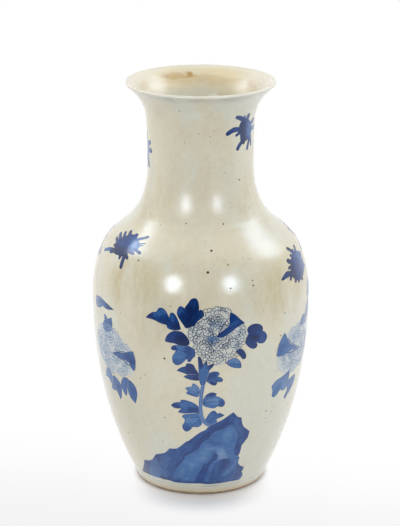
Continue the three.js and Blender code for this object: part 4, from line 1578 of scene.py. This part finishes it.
# Lamps that only glint in the glaze, each a bright middle in a softer edge, and their shares of
# the power
GLINTS = (
    ("left_front_edge", -29.5, 18, 1.6, 0.6, 0.9),
    ("left_front_middle", -29.5, 18, 1.58, 0.42, 0.65),
    ("right_front_edge", 32, 17.5, 1.6, 0.58, 0.75),
    ("right_front_middle", 32, 17.5, 1.58, 0.34, 0.4),
    ("left_side_edge", -100, 41, 1.5, 0.8, 0.4),
    ("left_side_middle", -105, 41, 1.48, 0.56, 0.38),
    ("left_side_heart", -109, 41, 1.46, 0.4, 0.28),
    ("right_side_edge", 108, 37, 1.5, 1.1, 0.95),
    ("right_side_middle", 107, 40, 1.48, 0.75, 0.58),
    ("right_side_heart", 106, 42, 1.46, 0.45, 0.22),
)


def aimed_lamp(name, bearing, elevation, distance, size, power, glints):
    """An area lamp that faces the vase. It either glints in the glaze or lights it."""
    around = math.radians(bearing)
    up = math.radians(elevation)
    lamp = bpy.data.lights.new(name, "AREA")
    lamp.shape = "DISK"
    lamp.size = size
    lamp.energy = power
    if glints:
        lamp.color = COOL_WHITE
    lamp_object = bpy.data.objects.new(name, lamp)
    lamp_object.location = (
        distance * math.cos(up) * math.sin(around),
        -distance * math.cos(up) * math.cos(around),
        AIM_HEIGHT + distance * math.sin(up),
    )
    lamp_object.rotation_euler = (math.pi / 2 - up, 0, around)
    lamp_object.visible_camera = False
    lamp_object.visible_glossy = glints
    lamp_object.visible_diffuse = not glints
    bpy.context.scene.collection.objects.link(lamp_object)


class VASE_OT_stage(bpy.types.Operator):
    """Sets the floor, the backdrop, the soft lamps and the camera"""

    bl_idname = "vase.stage"
    bl_label = "Set Stage"

    def execute(self, context):
        studio = context.scene.vase_studio
        self.camera(context, studio)
        self.floor(studio)
        self.world(context, studio)
        bearing, *rest = SIDE_BOX
        aimed_lamp("left_side_box", -bearing, *rest, studio.side_box, False)
        aimed_lamp("right_side_box", bearing, *rest, studio.side_box, False)
        for name, *place, share in GLINTS:
            power = studio.front_lamp if "front" in name else studio.side_glow
            aimed_lamp(name, *place, share * power, True)
        aimed_lamp("front_fill", *FRONT_FILL, studio.front_fill, False)
        context.scene.view_settings.view_transform = "Standard"
        return {"FINISHED"}

    def camera(self, context, studio):
        lens = bpy.data.cameras.new("photo_camera")
        lens.lens = studio.lens
        lens.sensor_width = 36
        lens.shift_x = VIEW_SHIFT / VIEW_HEIGHT
        lens.clip_start = 0.05
        lens.clip_end = 50
        camera = bpy.data.objects.new("photo_camera", lens)
        camera.location = CAMERA_PLACE
        camera.rotation_euler = (math.radians(90 - CAMERA_TILT), 0, 0)
        context.scene.collection.objects.link(camera)
        context.scene.camera = camera

    def floor(self, studio):
        bm = bmesh.new()
        bmesh.ops.create_circle(bm, cap_ends=True, segments=96, radius=FLOOR_RADIUS)
        bmesh.ops.translate(bm, verts=bm.verts, vec=(0, 0, -FLOOR_DROP))
        mesh = bpy.data.meshes.new("floor")
        bm.to_mesh(mesh)
        bm.free()
        material = bpy.data.materials.new("pale_floor")
        material.use_nodes = True
        tree = material.node_tree
        tree.nodes.clear()
        place = add_node(tree, "ShaderNodeTexCoord").outputs["Object"]
        far = add_node(tree, "ShaderNodeVectorMath", {0: place}, operation="LENGTH").outputs["Value"]
        rays, shown = shown_rays(tree)
        matt = add_node(tree, "ShaderNodeBsdfDiffuse", {"Color": studio.floor})
        sheen = add_node(tree, "ShaderNodeBsdfGlossy", {"Color": studio.floor, "Roughness": 0.3})
        lit = add_node(tree, "ShaderNodeMixShader", {
            0: FLOOR_SHEEN, 1: matt.outputs[0], 2: sheen.outputs[0],
        })
        split = add_node(tree, "ShaderNodeSeparateXYZ", {0: place})
        studio_side = stepped(tree, split.outputs[1], -0.75, -0.3, studio.camera_side, 1.0)

        # Plain white, with painted shade that greys it a little towards the front and the left
        back = maths(tree, "MULTIPLY_ADD", split.outputs[0], 0.25, split.outputs[1])
        tone = stepped(tree, back, -0.2, 0.09, 0.9, 1.0)
        seen = maths(tree, "MAXIMUM", studio_side, rays["Is Camera Ray"])
        white = add_node(tree, "ShaderNodeEmission", {
            "Color": (1, 1, 1, 1), "Strength": product(tree, tone, seen),
        })

        # Close to the foot and in front of it the floor is lit, so that the vase's shadow shows
        from_shadow = far_from(tree, place, SHADOW_CENTRE, (1, 1, 1))
        share = product(
            tree, shown, stepped(tree, from_shadow, 0.04, 0.08), stepped(tree, far, 0.067, 0.075),
        )
        mixed = add_node(tree, "ShaderNodeMixShader", {0: share, 1: lit.outputs[0], 2: white.outputs[0]})
        add_node(tree, "ShaderNodeOutputMaterial", {"Surface": mixed.outputs[0]})
        mesh.materials.append(material)
        floor = bpy.data.objects.new("floor", mesh)
        bpy.context.scene.collection.objects.link(floor)

    def world(self, context, studio):
        world = bpy.data.worlds.new("studio")
        context.scene.world = world
        world.use_nodes = True
        tree = world.node_tree
        tree.nodes.clear()
        rays, shown = shown_rays(tree)
        heading = add_node(tree, "ShaderNodeTexCoord").outputs["Generated"]
        split = add_node(tree, "ShaderNodeSeparateXYZ", {0: heading})
        studio_side = stepped(tree, split.outputs[1], -0.55, 0.3, studio.camera_side, 1.0)
        seen = maths(tree, "MAXIMUM", studio_side, rays["Is Camera Ray"])
        unseen = product(tree, maths(tree, "SUBTRACT", 1.0, shown), studio.fill)
        strength = maths(tree, "ADD", product(tree, shown, seen), unseen)
        backdrop = add_node(tree, "ShaderNodeBackground", {"Color": (1, 1, 1, 1), "Strength": strength})
        add_node(tree, "ShaderNodeOutputWorld", {"Surface": backdrop.outputs[0]})


class VASE_PT_panel(bpy.types.Panel):
    """Lists the pieces of the vase and the studio"""

    bl_idname = "VASE_PT_panel"
    bl_label = "Porcelain Vase"
    bl_space_type = "VIEW_3D"
    bl_region_type = "UI"
    bl_category = "Vase"

    def draw(self, context):
        for operator in OPERATORS:
            self.layout.operator(operator.bl_idname)
        for label, group in GROUPS.items():
            box = self.layout.box()
            for name in group.__annotations__:
                box.prop(getattr(context.scene, label), name)


GROUPS = {
    "vase_shape": VaseShape,
    "vase_glaze": VaseGlaze,
    "vase_cobalt": VaseCobalt,
    "vase_studio": VaseStudio,
}
OPERATORS = (
    VASE_OT_stage,
    VASE_OT_neck_and_mouth,
    VASE_OT_shoulder,
    VASE_OT_lower_body,
    VASE_OT_foot,
    VASE_OT_slip_rings,
    VASE_OT_peony_sprays,
    VASE_OT_rocks,
    VASE_OT_sprigs,
    VASE_OT_iron_specks,
)


def register():
    for group in GROUPS.values():
        bpy.utils.register_class(group)
    for label, group in GROUPS.items():
        setattr(bpy.types.Scene, label, bpy.props.PointerProperty(type=group))
    for shown in (*OPERATORS, VASE_PT_panel):
        bpy.utils.register_class(shown)


def unregister():
    for shown in (VASE_PT_panel, *reversed(OPERATORS)):
        bpy.utils.unregister_class(shown)
    for label, group in GROUPS.items():
        delattr(bpy.types.Scene, label)
        bpy.utils.unregister_class(group)


def main():
    register()
    for operator in OPERATORS:
        family, name = operator.bl_idname.split(".")
        getattr(getattr(bpy.ops, family), name)()


if __name__ == "__main__":
    main()
